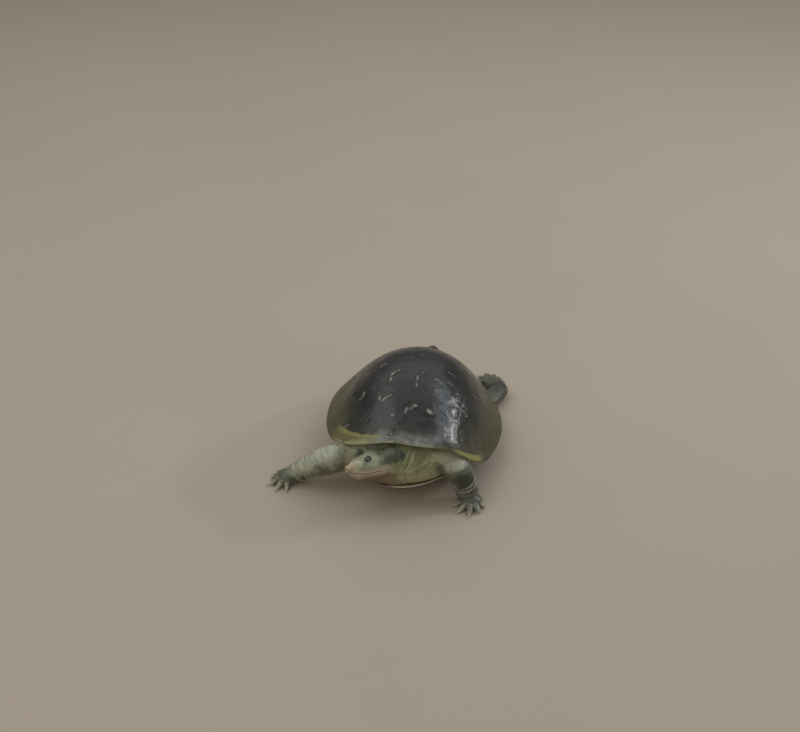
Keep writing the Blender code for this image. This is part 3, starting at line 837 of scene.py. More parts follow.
@dataclass
class Carapace:
    """The domed upper shell: a smooth glossy dome that runs out to a thin leathery margin."""

    shape: ShellShape
    offset: Points
    rows: int = 118
    columns: int = 420
    row_spacing: float = 0.85
    slope_step: float = 0.004
    middle_thickness: float = 0.0030
    edge_thickness: float = 0.0017
    thinning: tuple[float, float] = (0.7, 1.0)
    edge_rows: int = 4
    edge_bulge: float = 0.7
    edge_share: float = 1.02
    undulation: float = 0.00055
    rim_undulation: tuple[float, float] = (0.9, 1.3)
    crown_fade: float = 0.06
    wave_sizes: tuple[float, float] = (0.026, 0.010)
    fleck_drift: float = 0.0012
    fleck_drift_size: float = 0.0022
    flecks: tuple[Mark, ...] = (
        Mark(((-23.6, -39.0), (-24.3, -31.5), (-21.6, -26.0), (-17.5, -23.6)), 2.0),
        Mark(((0.3, -30.0), (0.9, -35.0)), 1.8),
        Mark(((1.2, -38.0), (2.1, -42.0)), 1.8),
        Mark(((3.5, -23.9), (6.2, -24.3)), 2.4),
        Mark(((16.6, -26.6), (21.6, -28.3)), 2.7),
        Mark(((-47.2, -46.2), (-44.7, -41.0)), 2.2),
        Mark(((-27.0, -57.6), (-22.6, -54.8), (-17.8, -51.8)), 2.0),
        Mark(((-29.6, -52.0), (-28.9, -54.6)), 1.9),
        Mark(((-3.4, -69.6), (-0.6, -64.8), (5.2, -59.8)), 2.5),
        Mark(((17.2, -61.5), (21.6, -63.5)), 2.9),
        Mark(((-13.9, -70.6), (-12.2, -71.1)), 2.0),
        Mark(((47.2, -39.2), (50.4, -40.0)), 2.4),
        Mark(((-56.0, -65.0), (-53.6, -64.8)), 2.8),
        Mark(((-11.0, -88.2), (-9.3, -87.2)), 2.2),
        Mark(((51.9, -8.8), (56.1, -7.0)), 2.6),
        Mark(((39.4, -29.0), (40.2, -32.2)), 1.8),
        Mark(((-36.5, -12.0), (-33.0, -8.5)), 2.0),
        Mark(((25.0, -9.3), (32.9, -7.9)), 1.4),
    )
    inks: tuple[Mark, ...] = (
        Mark(((-21.5, -30.5), (-18.0, -28.0), (-14.0, -27.2)), 3.2),
        Mark(((0.3, -27.0), (2.2, -22.0)), 2.2),
        Mark(((-55.5, -31.0), (-52.5, -36.5), (-49.4, -41.7)), 3.6),
        Mark(((-26.8, -52.1), (-24.0, -54.6)), 2.0),
        Mark(((5.6, -58.6), (8.7, -59.9), (7.2, -63.2)), 2.4),
        Mark(((-5.0, -61.4), (0.2, -58.4)), 2.0),
        Mark(((14.8, -64.0), (18.1, -65.6), (23.2, -65.4)), 2.4),
        Mark(((44.0, -41.8), (46.0, -36.5), (52.2, -37.4), (50.9, -42.8)), 2.2),
        Mark(((23.0, 10.2), (30.4, 8.0)), 3.0),
        Mark(((26.5, -5.0), (34.0, -4.0)), 1.8),
        Mark(((-12.0, -84.5), (-7.0, -84.0)), 2.6),
    )
    scattered: int = 12
    scatter_shares: tuple[float, float] = (0.12, 0.86)
    scatter_bearings: tuple[float, float] = (-12, 192)
    scatter_gap: float = 13
    scatter_half_length: tuple[float, float] = (1.0, 2.6)
    scatter_bend: float = 0.25
    scatter_width: tuple[float, float] = (1.8, 2.6)
    seed: int = 7

    def all_flecks(self) -> list[Mark]:
        """The front flecks and a seeded scatter of like ones over the rear.

        Returns:
            All the flecks.
        """
        chance = np.random.default_rng(self.seed)
        flecks = list(self.flecks)
        middles = [np.mean(fleck.line, axis=0) for fleck in flecks]
        while len(flecks) < len(self.flecks) + self.scattered:
            share = chance.uniform(*self.scatter_shares)
            angle = math.radians(chance.uniform(*self.scatter_bearings))
            middle = self.shape.dome(np.array(share), np.array(angle))[:2] / MM
            if all(math.hypot(*(middle - other)) > self.scatter_gap for other in middles):
                middles.append(middle)
                turn = math.radians(chance.uniform(-90, 90))
                bend = chance.uniform(-self.scatter_bend, self.scatter_bend)
                way = np.array([math.cos(turn), math.sin(turn)]) * chance.uniform(*self.scatter_half_length)
                knee = middle + np.array([-way[1], way[0]]) * bend
                line = (tuple(middle - way), tuple(knee), tuple(middle + way))
                flecks.append(Mark(line, chance.uniform(*self.scatter_width)))
        return flecks

    def nearest(self, marks: Sequence[Mark], plan: Points) -> Points:
        """Distance to the nearest mark as a share of its half width."""
        return np.min([mark.distance(plan) for mark in marks], axis=0)

    def outer_surface(self, share: Points, angle: Points) -> tuple[Points, Points, Points]:
        """The dome's outer surface, gently uneven.

        Args:
            share: Share of the way from crown to rim, at each place of the grid.
            angle: Direction in the plan.

        Returns:
            The points, the ways out of the surface, and the ways towards the rim.
        """
        outer = self.shape.dome(share, angle)
        out, along = self.shape.outward(share, angle, self.slope_step)
        flat = outer.reshape(-1, 3)
        broad, narrow = self.wave_sizes
        wave = lattice_noise(flat, broad, 3) * 0.6 + lattice_noise(flat, narrow, 4) * 0.4
        rim_from, rim_gain = self.rim_undulation
        wave = wave.reshape(share.shape) * np.where(share > rim_from, rim_gain, 1.0)
        fade = smooth(0.0, self.crown_fade, share)
        outer = outer + out * (wave * fade * self.undulation - self.undulation)[..., None]
        return outer, out, along

    def rounded_edge(self, outer: Points, inner: Points, out: Points, along: Points) -> list[Points]:
        """Rings that round the rim between the outer and the inner surface.

        Args:
            outer: The outer surface's last ring.
            inner: The inner surface's last ring.
            out: Ways out of the surface there.
            along: Ways towards the rim there.

        Returns:
            The rings.
        """
        middle = (outer + inner) / 2
        radial = along / np.linalg.norm(along, axis=-1, keepdims=True)
        half = self.edge_thickness / 2
        rings = []
        for k in range(1, self.edge_rows):
            turn = math.pi * k / self.edge_rows
            bulge = radial * half * (math.sin(turn) - 1) * self.edge_bulge
            rings.append(middle + out * half * math.cos(turn) + bulge)
        return rings

    def build(self) -> Object:
        """Makes the shell.

        Returns:
            The piece, with what its finish reads stored on it.
        """
        shares = np.linspace(0.0, 1.0, self.rows) ** self.row_spacing
        shares[0] = POLE
        share, angle = round_grid(shares, self.columns)
        outer, out, along = self.outer_surface(share, angle)
        thinner = self.edge_thickness - self.middle_thickness
        thickness = self.middle_thickness + thinner * smooth(*self.thinning, share)
        inner = outer - out * thickness[..., None]
        edge = self.rounded_edge(outer[-1], inner[-1], out[-1], along[-1])
        kept = [*range(self.rows - 1, 0, -2), 0]
        grid = np.array([*outer, *edge, *inner[kept]])
        plan = grid.reshape(-1, 3)
        drift = [lattice_noise(plan, self.fleck_drift_size, seed) for seed in (91, 92, 93)]
        ragged = plan + self.fleck_drift * np.stack(drift, axis=-1)
        shares = np.concatenate([shares, np.full(len(edge), self.edge_share), shares[kept]])
        under = np.arange(len(grid)) >= self.rows + len(edge)
        mesh = grid_mesh("carapace_skin", self.shape.stand(grid) + self.offset, closed=True)
        store(mesh, "share", np.repeat(shares, self.columns))
        store_directions(mesh, angle[0], len(grid))
        store(mesh, "fleck", self.nearest(self.all_flecks(), ragged))
        store(mesh, "ink", self.nearest(self.inks, ragged))
        store(mesh, "under", np.repeat(under.astype(float), self.columns))
        close_mesh(mesh)
        return new_object("carapace_skin", mesh)

    def dress(self, thing: Object, material: Material) -> None:
        """Gives the shell its finish and its place in the frame."""
        finish_piece(thing, ["carapace"], material)


@dataclass(frozen=True)
class Callosity:
    """A rough bony pad that shows through the plastron: its middle, half sizes and heading."""

    x: float
    y: float
    half_length: float
    half_width: float
    heading: float = 0.0


@dataclass
class Plastron:
    """The cream lower shell, with a rounded front lobe, a hinge crease and rough pads."""

    shape: ShellShape
    offset: Points
    rows: int = 60
    columns: int = 180
    edge_thickness: float = 0.0013
    thinning: tuple[float, float] = (0.86, 1.0)
    edge_tuck: float = 0.0004
    hinge: float = -0.036
    hinge_bow: float = 5.0
    hinge_depth: float = 0.0009
    hinge_width: float = 0.0011
    pad_height: float = 0.00045
    ripple_height: float = 0.00012
    ripple_size: float = 0.010
    pads: tuple[Callosity, ...] = (
        Callosity(0.0, -0.062, 0.013, 0.010),
        Callosity(0.016, -0.082, 0.008, 0.0055, 20),
        Callosity(-0.016, -0.082, 0.008, 0.0055, -20),
        Callosity(0.030, -0.008, 0.013, 0.021, 8),
        Callosity(-0.030, -0.008, 0.013, 0.021, -8),
        Callosity(0.017, 0.046, 0.022, 0.011, 10),
        Callosity(-0.017, 0.046, 0.022, 0.011, -10),
    )

    def pad_share(self, plan: Points) -> Points:
        """Share of full pad height.

        Args:
            plan: Places in the shell's plan.

        Returns:
            The share at each place.
        """
        height = np.zeros(len(plan))
        drift = 0.10 * lattice_noise(plan, 0.008, 21)
        for pad in self.pads:
            away = plan[:, :2] - (pad.x, pad.y)
            turn = math.radians(pad.heading)
            along = away[:, 1] * math.cos(turn) + away[:, 0] * math.sin(turn)
            across = away[:, 0] * math.cos(turn) - away[:, 1] * math.sin(turn)
            size = np.hypot(along / pad.half_length, across / pad.half_width)
            height = np.maximum(height, smooth(1.05, 0.80, size + drift))
        return height

    def relief(self, under: Points, pads: Points) -> Points:
        """How far the underside is sunk: all but the pads, more along the hinge, and gently uneven.

        Args:
            under: Places on the underside, as rows, columns and coordinates.
            pads: Share of full pad height at each.

        Returns:
            The depths, as rows and columns.
        """
        bow = self.hinge_bow * under[..., 0] ** 2
        crease = bell(under[..., 1] - self.hinge - bow, self.hinge_width)
        ripple = 1 + lattice_noise(under.reshape(-1, 3), self.ripple_size, 5)
        sunk = self.pad_height * (1 - pads) + self.hinge_depth * crease
        return sunk + self.ripple_height * ripple.reshape(pads.shape)

    def build(self) -> Object:
        """Makes the plate.

        Returns:
            The piece, with what its finish reads stored on it.
        """
        share, angle = round_grid(np.linspace(POLE, 1.0, self.rows), self.columns)
        under = self.shape.plate(share, angle)
        pads = self.pad_share(under.reshape(-1, 3)).reshape(share.shape)
        relief = self.relief(under, pads)
        under = under + relief[..., None] * (0, 0, 1)
        thick = self.shape.plate_thickness
        depth = thick + (self.edge_thickness - thick) * smooth(*self.thinning, share) - relief
        upper = under + depth[..., None] * (0, 0, 1)
        lip = (under[-1] + upper[-1]) / 2
        way = lip[:, :2] / np.linalg.norm(lip[:, :2], axis=1, keepdims=True)
        tuck = np.concatenate([way * -self.edge_tuck, np.zeros((len(way), 1))], axis=1)
        under[-1] += tuck
        upper[-1] += tuck
        grid = np.array([*under, lip, *upper[::-1]])
        mesh = grid_mesh("plastron_skin", self.shape.stand(grid) + self.offset, closed=True)
        store(mesh, "pad", np.concatenate([pads.ravel(), np.zeros(self.columns + pads.size)]))
        store(mesh, "share", np.concatenate([share.ravel(), np.ones(self.columns), share[::-1].ravel()]))
        inside = np.arange(len(grid)) > self.rows
        store(mesh, "inside", np.repeat(inside.astype(float), self.columns))
        store_directions(mesh, angle[0], len(grid))
        close_mesh(mesh)
        return new_object("plastron_skin", mesh)

    def dress(self, thing: Object, material: Material) -> None:
        """Gives the plate its finish and its place in the frame."""
        finish_piece(thing, ["plastron"], material)


@dataclass
class RearFlap:
    """One of the two skin flaps that close over the hind legs, under the thigh."""

    shape: ShellShape
    offset: Points
    word: str
    side: float
    start: float = math.radians(18)
    end: float = math.radians(74)
    reach: float = 0.92
    gap: float = 0.00045
    outer_rise: float = 0.001
    middle_rise: float = 0.0008
    narrow_end: float = 0.08
    roundness: float = 0.6
    columns: int = 60
    rows: int = 18
    thickness: float = 0.0014
    swell: float = 0.0002
    swell_size: float = 0.009

    def half_thickness(self, share: Points, t: Points) -> Points:
        """Half the flap's thickness, less towards its rim.

        Args:
            share: Share of the way along the flap, for each column.
            t: Share of the way across it, for each row.

        Returns:
            The half thickness, as rows and columns.
        """
        ends = np.minimum(1.0, 8 * np.minimum(share, 1 - share))
        sides = np.minimum(1.0, 6 * np.minimum(t, 1 - t) + 0.25)
        return self.thickness / 2 * np.sqrt(np.clip(sides * ends[None], 0.05, 1))

    def build(self) -> Object:
        """Makes the flap as a thin pad with a round rim.

        Returns:
            The piece.
        """
        share = np.linspace(0.02, 0.98, self.columns)
        angle = self.start + (self.end - self.start) * share
        hinge = self.shape.plate(np.ones_like(angle), angle)
        x, y = self.shape.outline(angle)
        outer = np.stack([x * self.reach, y * self.reach, hinge[:, 2] + self.outer_rise], axis=-1)
        across = outer - hinge
        width = self.narrow_end + (1 - self.narrow_end) * np.sin(np.pi * share) ** self.roundness
        first = hinge + across / np.linalg.norm(across, axis=1, keepdims=True) * self.gap
        last = hinge + across * width[:, None]
        t = np.linspace(0, 1, self.rows)[:, None, None]
        sheet = first[None] * (1 - t) + last[None] * t
        swell = lattice_noise(sheet.reshape(-1, 3), self.swell_size, 11).reshape(sheet.shape[:2]) * self.swell
        half = self.half_thickness(share, t[..., 0])
        middle = sheet + np.array([0, 0, self.middle_rise])
        top = middle + (half + swell)[..., None] * (0, 0, 1)
        bottom = middle - (half - swell)[..., None] * (0, 0, 1)
        grid = np.concatenate([top, bottom[::-1], top[:1]]) * (self.side, 1, 1)
        mesh = grid_mesh("rear_flap", self.shape.stand(grid) + self.offset, closed=False)
        close_mesh(mesh)
        return new_object(f"rear_flap_{self.word}", mesh)

    def dress(self, thing: Object, material: Material) -> None:
        """Gives the flap its finish and its place in the frame."""
        finish_piece(thing, [f"flap_{self.word}"], material)


# ---- flesh ----


@dataclass(frozen=True)
class EyeShape:
    """An eyeball and the slit between its lids, in the head's frame."""

    radius: float = 0.0034
    behind: float = 0.0199
    aside: float = 0.0059
    above: float = 0.0048
    gaze: tuple[float, float, float] = (-0.33, 0.46, 0.82)
    slit_lean: float = 0.12
    slit_half_length: float = 0.0024
    slit_half_height: float = 0.0018
    lid_height: float = 0.00042
    lid_edge: float = 0.00010
    lid_crease: float = 0.00028
    brow_height: float = 0.00035
    blend: tuple[float, float] = (1.15, 2.0)
    socket_depth: float = 0.0008
    ball_least: float = 0.0017
    reach: float = 0.0085
    reach_below: float = -0.002
    far_size: float = 6.0

    def centre(self, side: float) -> Points:
        """Middle of the eyeball, in the head's frame."""
        return np.array([self.behind, side * self.aside, self.above])

    def axes(self, side: float) -> Points:
        """The eye's own directions.

        Args:
            side: 1 for the left eye and -1 for the right.

        Returns:
            Along the slit, up across it, and outward, as rows.
        """
        out = np.array([self.gaze[0], side * self.gaze[1], self.gaze[2]])
        out = out / np.linalg.norm(out)
        along = np.array([1.0, 0.0, self.slit_lean])
        along = along - out * (along @ out)
        along = along / np.linalg.norm(along)
        across = np.cross(out, along)
        return np.array([along, across if across[2] > 0 else -across, out])

    def lids(self, places: Points, side: float) -> Points:
        """Opens the lids round one eyeball.

        Args:
            places: Skin points in the head's frame.
            side: 1 for the left eye and -1 for the right.

        Returns:
            The points, those near the eye moved along its axis.
        """
        axes = self.axes(side)
        local = (places - self.centre(side)) @ axes.T
        near = (np.hypot(local[:, 0], local[:, 1]) < self.reach) & (local[:, 2] > self.reach_below)
        p, q, n = local[near].T
        size = np.hypot(p / self.slit_half_length, q / self.slit_half_height)
        ball = np.sqrt(np.maximum(self.radius**2 - p**2 - q**2, self.ball_least**2))
        rim = ball + self.lid_height + self.lid_edge * bell(size - 1.10, 0.08)
        crease = self.lid_crease * bell(size - 1.52, 0.11)
        brow = self.brow_height * smooth(0.0, 0.002, q) * bell(size - 1.9, 0.35)
        away = smooth(*self.blend, size)
        lid = rim * (1 - away) + n * away - crease + brow
        opened = smooth(0.93, 1.03, size)
        moved = places.copy()
        moved[near] += ((ball - self.socket_depth) * (1 - opened) + lid * opened - n)[:, None] * axes[2]
        return moved

    def rim_size(self, places: Points) -> Points:
        """Size of the slit's outline that each point lies on, for the nearer eye.

        Args:
            places: Skin points in the head's frame.

        Returns:
            The sizes, where 1 is the lid's edge.
        """
        best = np.full(len(places), self.far_size)
        for side in SIDES:
            local = (places - self.centre(side)) @ self.axes(side).T
            size = np.hypot(local[:, 0] / self.slit_half_length, local[:, 1] / self.slit_half_height)
            best = np.where((local[:, 2] > 0) & (size < best), size, best)
        return best


@dataclass(frozen=True)
class HeadShape:
    """The head: a wedge that narrows to the eyes and ends in a short tubular snout.

    A row of its sections gives the place behind the snout's tip, half the width, and the top and bottom.
    """

    frame: HeadFrame = field(default_factory=HeadFrame)
    eye: EyeShape = field(default_factory=EyeShape)
    sections: tuple[Station, ...] = in_mm(
        (0, 2.4, 2.2, -2.5),
        (0.6, 3, 2.8, -3),
        (4, 3.3, 3.2, -3.6),
        (6, 5.2, 4, -8.8),
        (9.5, 7.8, 5.2, -12),
        (14, 10, 6.6, -14),
        (20, 12.6, 8, -15.3),
        (26, 14.9, 9.5, -16.2),
        (33, 17.1, 11, -16.8),
        (40, 18, 12, -17),
        (48, 17.5, 12.2, -17),
    )
    roundness: float = 2.3
    segments: int = 48
    steps: int = 4
    mouth_start: float = 0.0042
    mouth_corner: float = 0.0255
    mouth_depth: float = 0.00060
    upper_lip: float = 0.00045
    lower_lip: float = 0.00055
    lip_width: float = 0.0009
    cheek_height: float = 0.0011
    cheek: tuple[float, float] = (0.031, -0.0045)
    ear_depth: float = 0.00035
    ear: tuple[float, float] = (0.0325, 0.0015)
    bridge_depth: float = 0.00055
    bridge_behind: float = 0.0165
    snout_rings: float = 0.00006
    ring_spacing: float = 0.0012
    crown_grain: float = 0.00018
    chin_pleats: float = 0.00016
    pleat_spacing: float = 0.0024
    nostril_aside: float = 0.00105
    nostril_depth: float = 0.0016
    nostril_rim: float = 0.00012
    even_length: float = 0.030
    refined_length: float = 0.032
    reach_aside: float = 0.021
    reach_above: float = 0.020

    def add(self, bm: BMesh) -> None:
        """Adds the head's body.

        Args:
            bm: Mesh that receives it.
        """
        angle = 2 * np.pi * np.arange(self.segments) / self.segments
        radius = superellipse(angle, self.roundness)
        rings = []
        for behind, width, top, bottom in spline(self.sections, self.steps):
            aside = -width * radius * np.cos(angle)
            above = (top + bottom) / 2 + (top - bottom) / 2 * radius * np.sin(angle)
            rings.append(self.frame.world(np.stack([np.full_like(angle, behind), aside, above], axis=-1)))
        add_rings(bm, rings)

    def mouth_height(self, behind: Points) -> Points:
        """How high the line between the lips runs, by the place behind the snout's tip."""
        return -0.0040 - 0.0021 * smooth(0.004, 0.019, behind) + 0.0016 * smooth(0.017, 0.027, behind)

    def mouth_mask(self, behind: Points) -> Points:
        """Where the mouth's line runs, from the snout to its corner.

        Args:
            behind: Distance behind the snout's tip.

        Returns:
            1 on the line and 0 past its ends.
        """
        start = smooth(self.mouth_start - 0.0005, self.mouth_start + 0.0004, behind)
        return start * smooth(self.mouth_corner + 0.0012, self.mouth_corner - 0.0012, behind)

    def within(self, places: Points, length: float) -> Points:
        """Which places lie on the front of the head.

        Args:
            places: Skin points in the head's frame.
            length: How far behind the snout's tip still counts.

        Returns:
            Whether each does.
        """
        behind, aside, above = places.T
        return (behind < length) & (np.abs(aside) < self.reach_aside) & (np.abs(above) < self.reach_above)

    def mouth_relief(self, behind: Points, above: Points) -> Points:
        """Height of the lips, with the groove between them.

        Args:
            behind: Distance behind the snout's tip.
            above: Height over it.

        Returns:
            The heights.
        """
        off = above - self.mouth_height(behind)
        height = self.upper_lip * bell(off - 0.0012, self.lip_width)
        height += self.lower_lip * bell(off + 0.0013, self.lip_width)
        return (height - self.mouth_depth * bell(off, 0.00042)) * self.mouth_mask(behind)

    def relief(self, places: Points) -> Points:
        """Height of the lips, cheeks, ears, brow and fine skin over the plain wedge.

        Args:
            places: Skin points in the head's frame.

        Returns:
            The heights.
        """
        behind, aside, above = places.T
        height = self.mouth_relief(behind, above)
        cheek = bell(behind - self.cheek[0], 0.0065) * bell(above - self.cheek[1], 0.0055)
        height += self.cheek_height * cheek
        ear = np.hypot(behind - self.ear[0], above - self.ear[1])
        height -= self.ear_depth * smooth(0.0034, 0.0020, ear) * (np.abs(aside) > 0.008)
        bridge = bell(behind - self.bridge_behind, 0.006) * bell(aside, 0.0030) * (above > 0)
        height -= self.bridge_depth * bridge
        rings = np.sin(2 * np.pi * behind / self.ring_spacing) * smooth(0.0052, 0.0035, behind)
        height += self.snout_rings * rings * smooth(0.0006, 0.0014, behind)
        crown = lattice_noise(places, 0.0042, 31) * 0.6 + lattice_noise(places, 0.0019, 32) * 0.4
        height += self.crown_grain * crown * smooth(0.006, 0.012, behind)
        wander = 0.0008 * lattice_noise(places, 0.006, 33)
        chin = np.sin(2 * np.pi * (aside + wander) / self.pleat_spacing) * smooth(-0.0085, -0.0115, above)
        return height + self.chin_pleats * chin * smooth(0.008, 0.014, behind)

    def nostrils(self, places: Points) -> Points:
        """Sinks the two nostrils in the snout's end.

        Args:
            places: Skin points in the head's frame.

        Returns:
            The points, those near the nostrils moved.
        """
        moved = places.copy()
        for side in SIDES:
            away = np.hypot((places[:, 1] - side * self.nostril_aside) / 0.85, places[:, 2] - 0.0001)
            pit = smooth(0.00098, 0.00048, away) * smooth(0.0016, 0.0009, places[:, 0])
            rim = bell(away - 0.00118, 0.00022) * smooth(0.0012, 0.0006, places[:, 0])
            moved[:, 0] += self.nostril_depth * pit - self.nostril_rim * rim
        return moved


@dataclass(frozen=True)
class FootShape:
    """One foot: a flat palm, five digits fanned out and the web between them.

    The heading is the foot's turn from -Y towards +X and the spread half the fan's angle, both in degrees. A
    turn of 1 puts the digits after the innermost one on the side of a growing heading, and -1 on the other.
    """

    palm: tuple[float, float]
    heading: float
    spread: float
    turn: int
    digits: tuple[float, ...]
    palm_half_size: tuple[float, float, float] = (0.0108, 0.0095, 0.0070)
    palm_height: float = 0.0045
    digit_radius: float = 0.0029
    digit_flatness: float = 0.94
    knuckles: tuple[float, ...] = (1.22, 0.98, 1.04, 0.84, 0.90, 0.72)
    rises: tuple[float, ...] = (0.0050, 0.0051, 0.0038)
    rise_shares: tuple[float, ...] = (0.25, 0.55, 0.80, 1.0)
    tip_height: float = 0.0023
    web_reach: float = 0.84
    web_scallop: float = 0.14
    web_bottom: float = 0.0010
    web_top: float = 0.0026
    web_steps: int = 8
    clawed: int = 3
    reach: float = 0.034
    far: float = 0.05

    def centre(self) -> Points:
        """Middle of the sole."""
        return np.array([*self.palm, 0.0])

    def direction(self, place: float) -> Points:
        """Level direction along the fan.

        Args:
            place: Place along it, from 0 at the innermost digit, in steps of a digit.

        Returns:
            The direction.
        """
        share = place / (len(self.digits) - 1) * 2 - 1
        angle = math.radians(self.heading + self.turn * self.spread * share)
        return np.array([math.sin(angle), -math.cos(angle), 0.0])

    def digit_line(self, index: int) -> Points:
        """Middle line of a digit.

        Args:
            index: Which digit, from 0 at the innermost.

        Returns:
            The line's points.
        """
        reach = self.digits[index] * self.direction(index)
        places = zip(self.rise_shares, (*self.rises, self.tip_height))
        return np.array([self.centre() + reach * share + (0, 0, rise) for share, rise in places])

    def web_edge(self) -> Points:
        """Outline of the web: scallops between the digits' ends, and a point under the palm.

        Returns:
            The outline's points, on the floor.
        """
        last = len(self.digits) - 1
        edge = []
        for place in np.arange(last * self.web_steps + 1) / self.web_steps:
            index = min(int(place), last - 1)
            part = place - index
            length = self.digits[index] * (1 - part) + self.digits[index + 1] * part
            reach = length * (self.web_reach - self.web_scallop * math.sin(math.pi * part))
            edge.append(self.centre() + self.direction(place) * reach)
        edge.append(self.centre() - self.direction(last / 2) * self.palm_half_size[1] / 2)
        return np.array(edge)

    def add(self, bm: BMesh) -> None:
        """Adds the foot's body.

        Args:
            bm: Mesh that receives it.
        """
        place = Matrix.Translation((*self.palm, self.palm_height))
        place = place @ Matrix.Rotation(math.radians(self.heading), 4, "Z")
        place = place @ Matrix.Diagonal((*self.palm_half_size, 1))
        bmesh.ops.create_uvsphere(bm, u_segments=32, v_segments=18, radius=1, matrix=place)
        radii = [self.digit_radius * knuckle for knuckle in self.knuckles]
        for index in range(len(self.digits)):
            line = np.delete(spline(self.digit_line(index).tolist(), 2), 1, axis=0)
            stations = [(*point, r, r * self.digit_flatness) for point, r in zip(line, radii)]
            add_loft(bm, stations, segments=18, steps=4)
        add_rings(bm, [self.web_edge() + (0, 0, z) for z in (self.web_bottom, self.web_top)])

    def digit_distance(self, points: Points) -> Points:
        """Distance from the nearest digit's middle line.

        Args:
            points: Places on the skin.

        Returns:
            The distances, or the far distance away from the foot.
        """
        best = np.full(len(points), self.far)
        near = np.linalg.norm(points[:, :2] - self.centre()[:2], axis=1) < self.reach
        for index in range(len(self.digits)):
            _, gap, _ = Path(self.digit_line(index)).measure(points[near])
            best[near] = np.minimum(best[near], gap)
        return best


FRONT_DIGITS = (0.0128, 0.0148, 0.0152, 0.0146, 0.0132)
REAR_DIGITS = (0.0190, 0.0235, 0.0245, 0.0220, 0.0170)
FEET = {
    Limb.FRONT_LEFT: FootShape((0.0650, -0.0815), 5, 70, 1, FRONT_DIGITS),
    Limb.FRONT_RIGHT: FootShape((-0.1070, -0.0810), -55, 68, -1, FRONT_DIGITS),
    Limb.REAR_LEFT: FootShape((0.0640, 0.1035), 210, 38, -1, REAR_DIGITS),
    Limb.REAR_RIGHT: FootShape((-0.0735, 0.0770), 178, 38, 1, REAR_DIGITS),
}
LEG_STATIONS = {
    Limb.FRONT_LEFT: in_mm(
        (36, -50, 38, 12, 11),
        (40, -62, 39, 12.5, 11.8),
        (47, -72, 36.5, 12.5, 12.5),
        (54.5, -75, 28, 12, 12),
        (59, -75.5, 17, 10.8, 10.8),
        (62.5, -78.5, 8, 10, 9.2),
    ),
    Limb.FRONT_RIGHT: in_mm(
        (-34, -56, 40, 14.5, 14),
        (-45, -69, 37.5, 14.5, 14),
        (-60, -77.5, 32, 14.5, 14),
        (-76, -79, 24.5, 13, 12.8),
        (-88, -78.5, 17.5, 10.3, 10.3),
        (-97, -79, 11, 9.5, 8.8),
        (-105, -80.5, 6.2, 10, 6.8),
    ),
    Limb.REAR_LEFT: in_mm(
        (34, 42, 19, 13, 10),
        (50, 58, 13, 12, 6.6),
        (61, 71, 10.5, 11, 5.8),
        (68.5, 84, 9.6, 9.5, 7.2),
        (69, 94, 7.8, 8.6, 7),
        (65, 103, 5.2, 9.5, 5.5),
    ),
    Limb.REAR_RIGHT: in_mm(
        (-32, 30, 26, 13, 10),
        (-48, 43, 21.5, 12, 7.8),
        (-61, 52, 17, 11, 7.5),
        (-70, 60, 12.5, 9.8, 8),
        (-73.5, 68, 8.5, 9, 7),
        (-74, 76, 5.2, 9.5, 5.5),
    ),
}


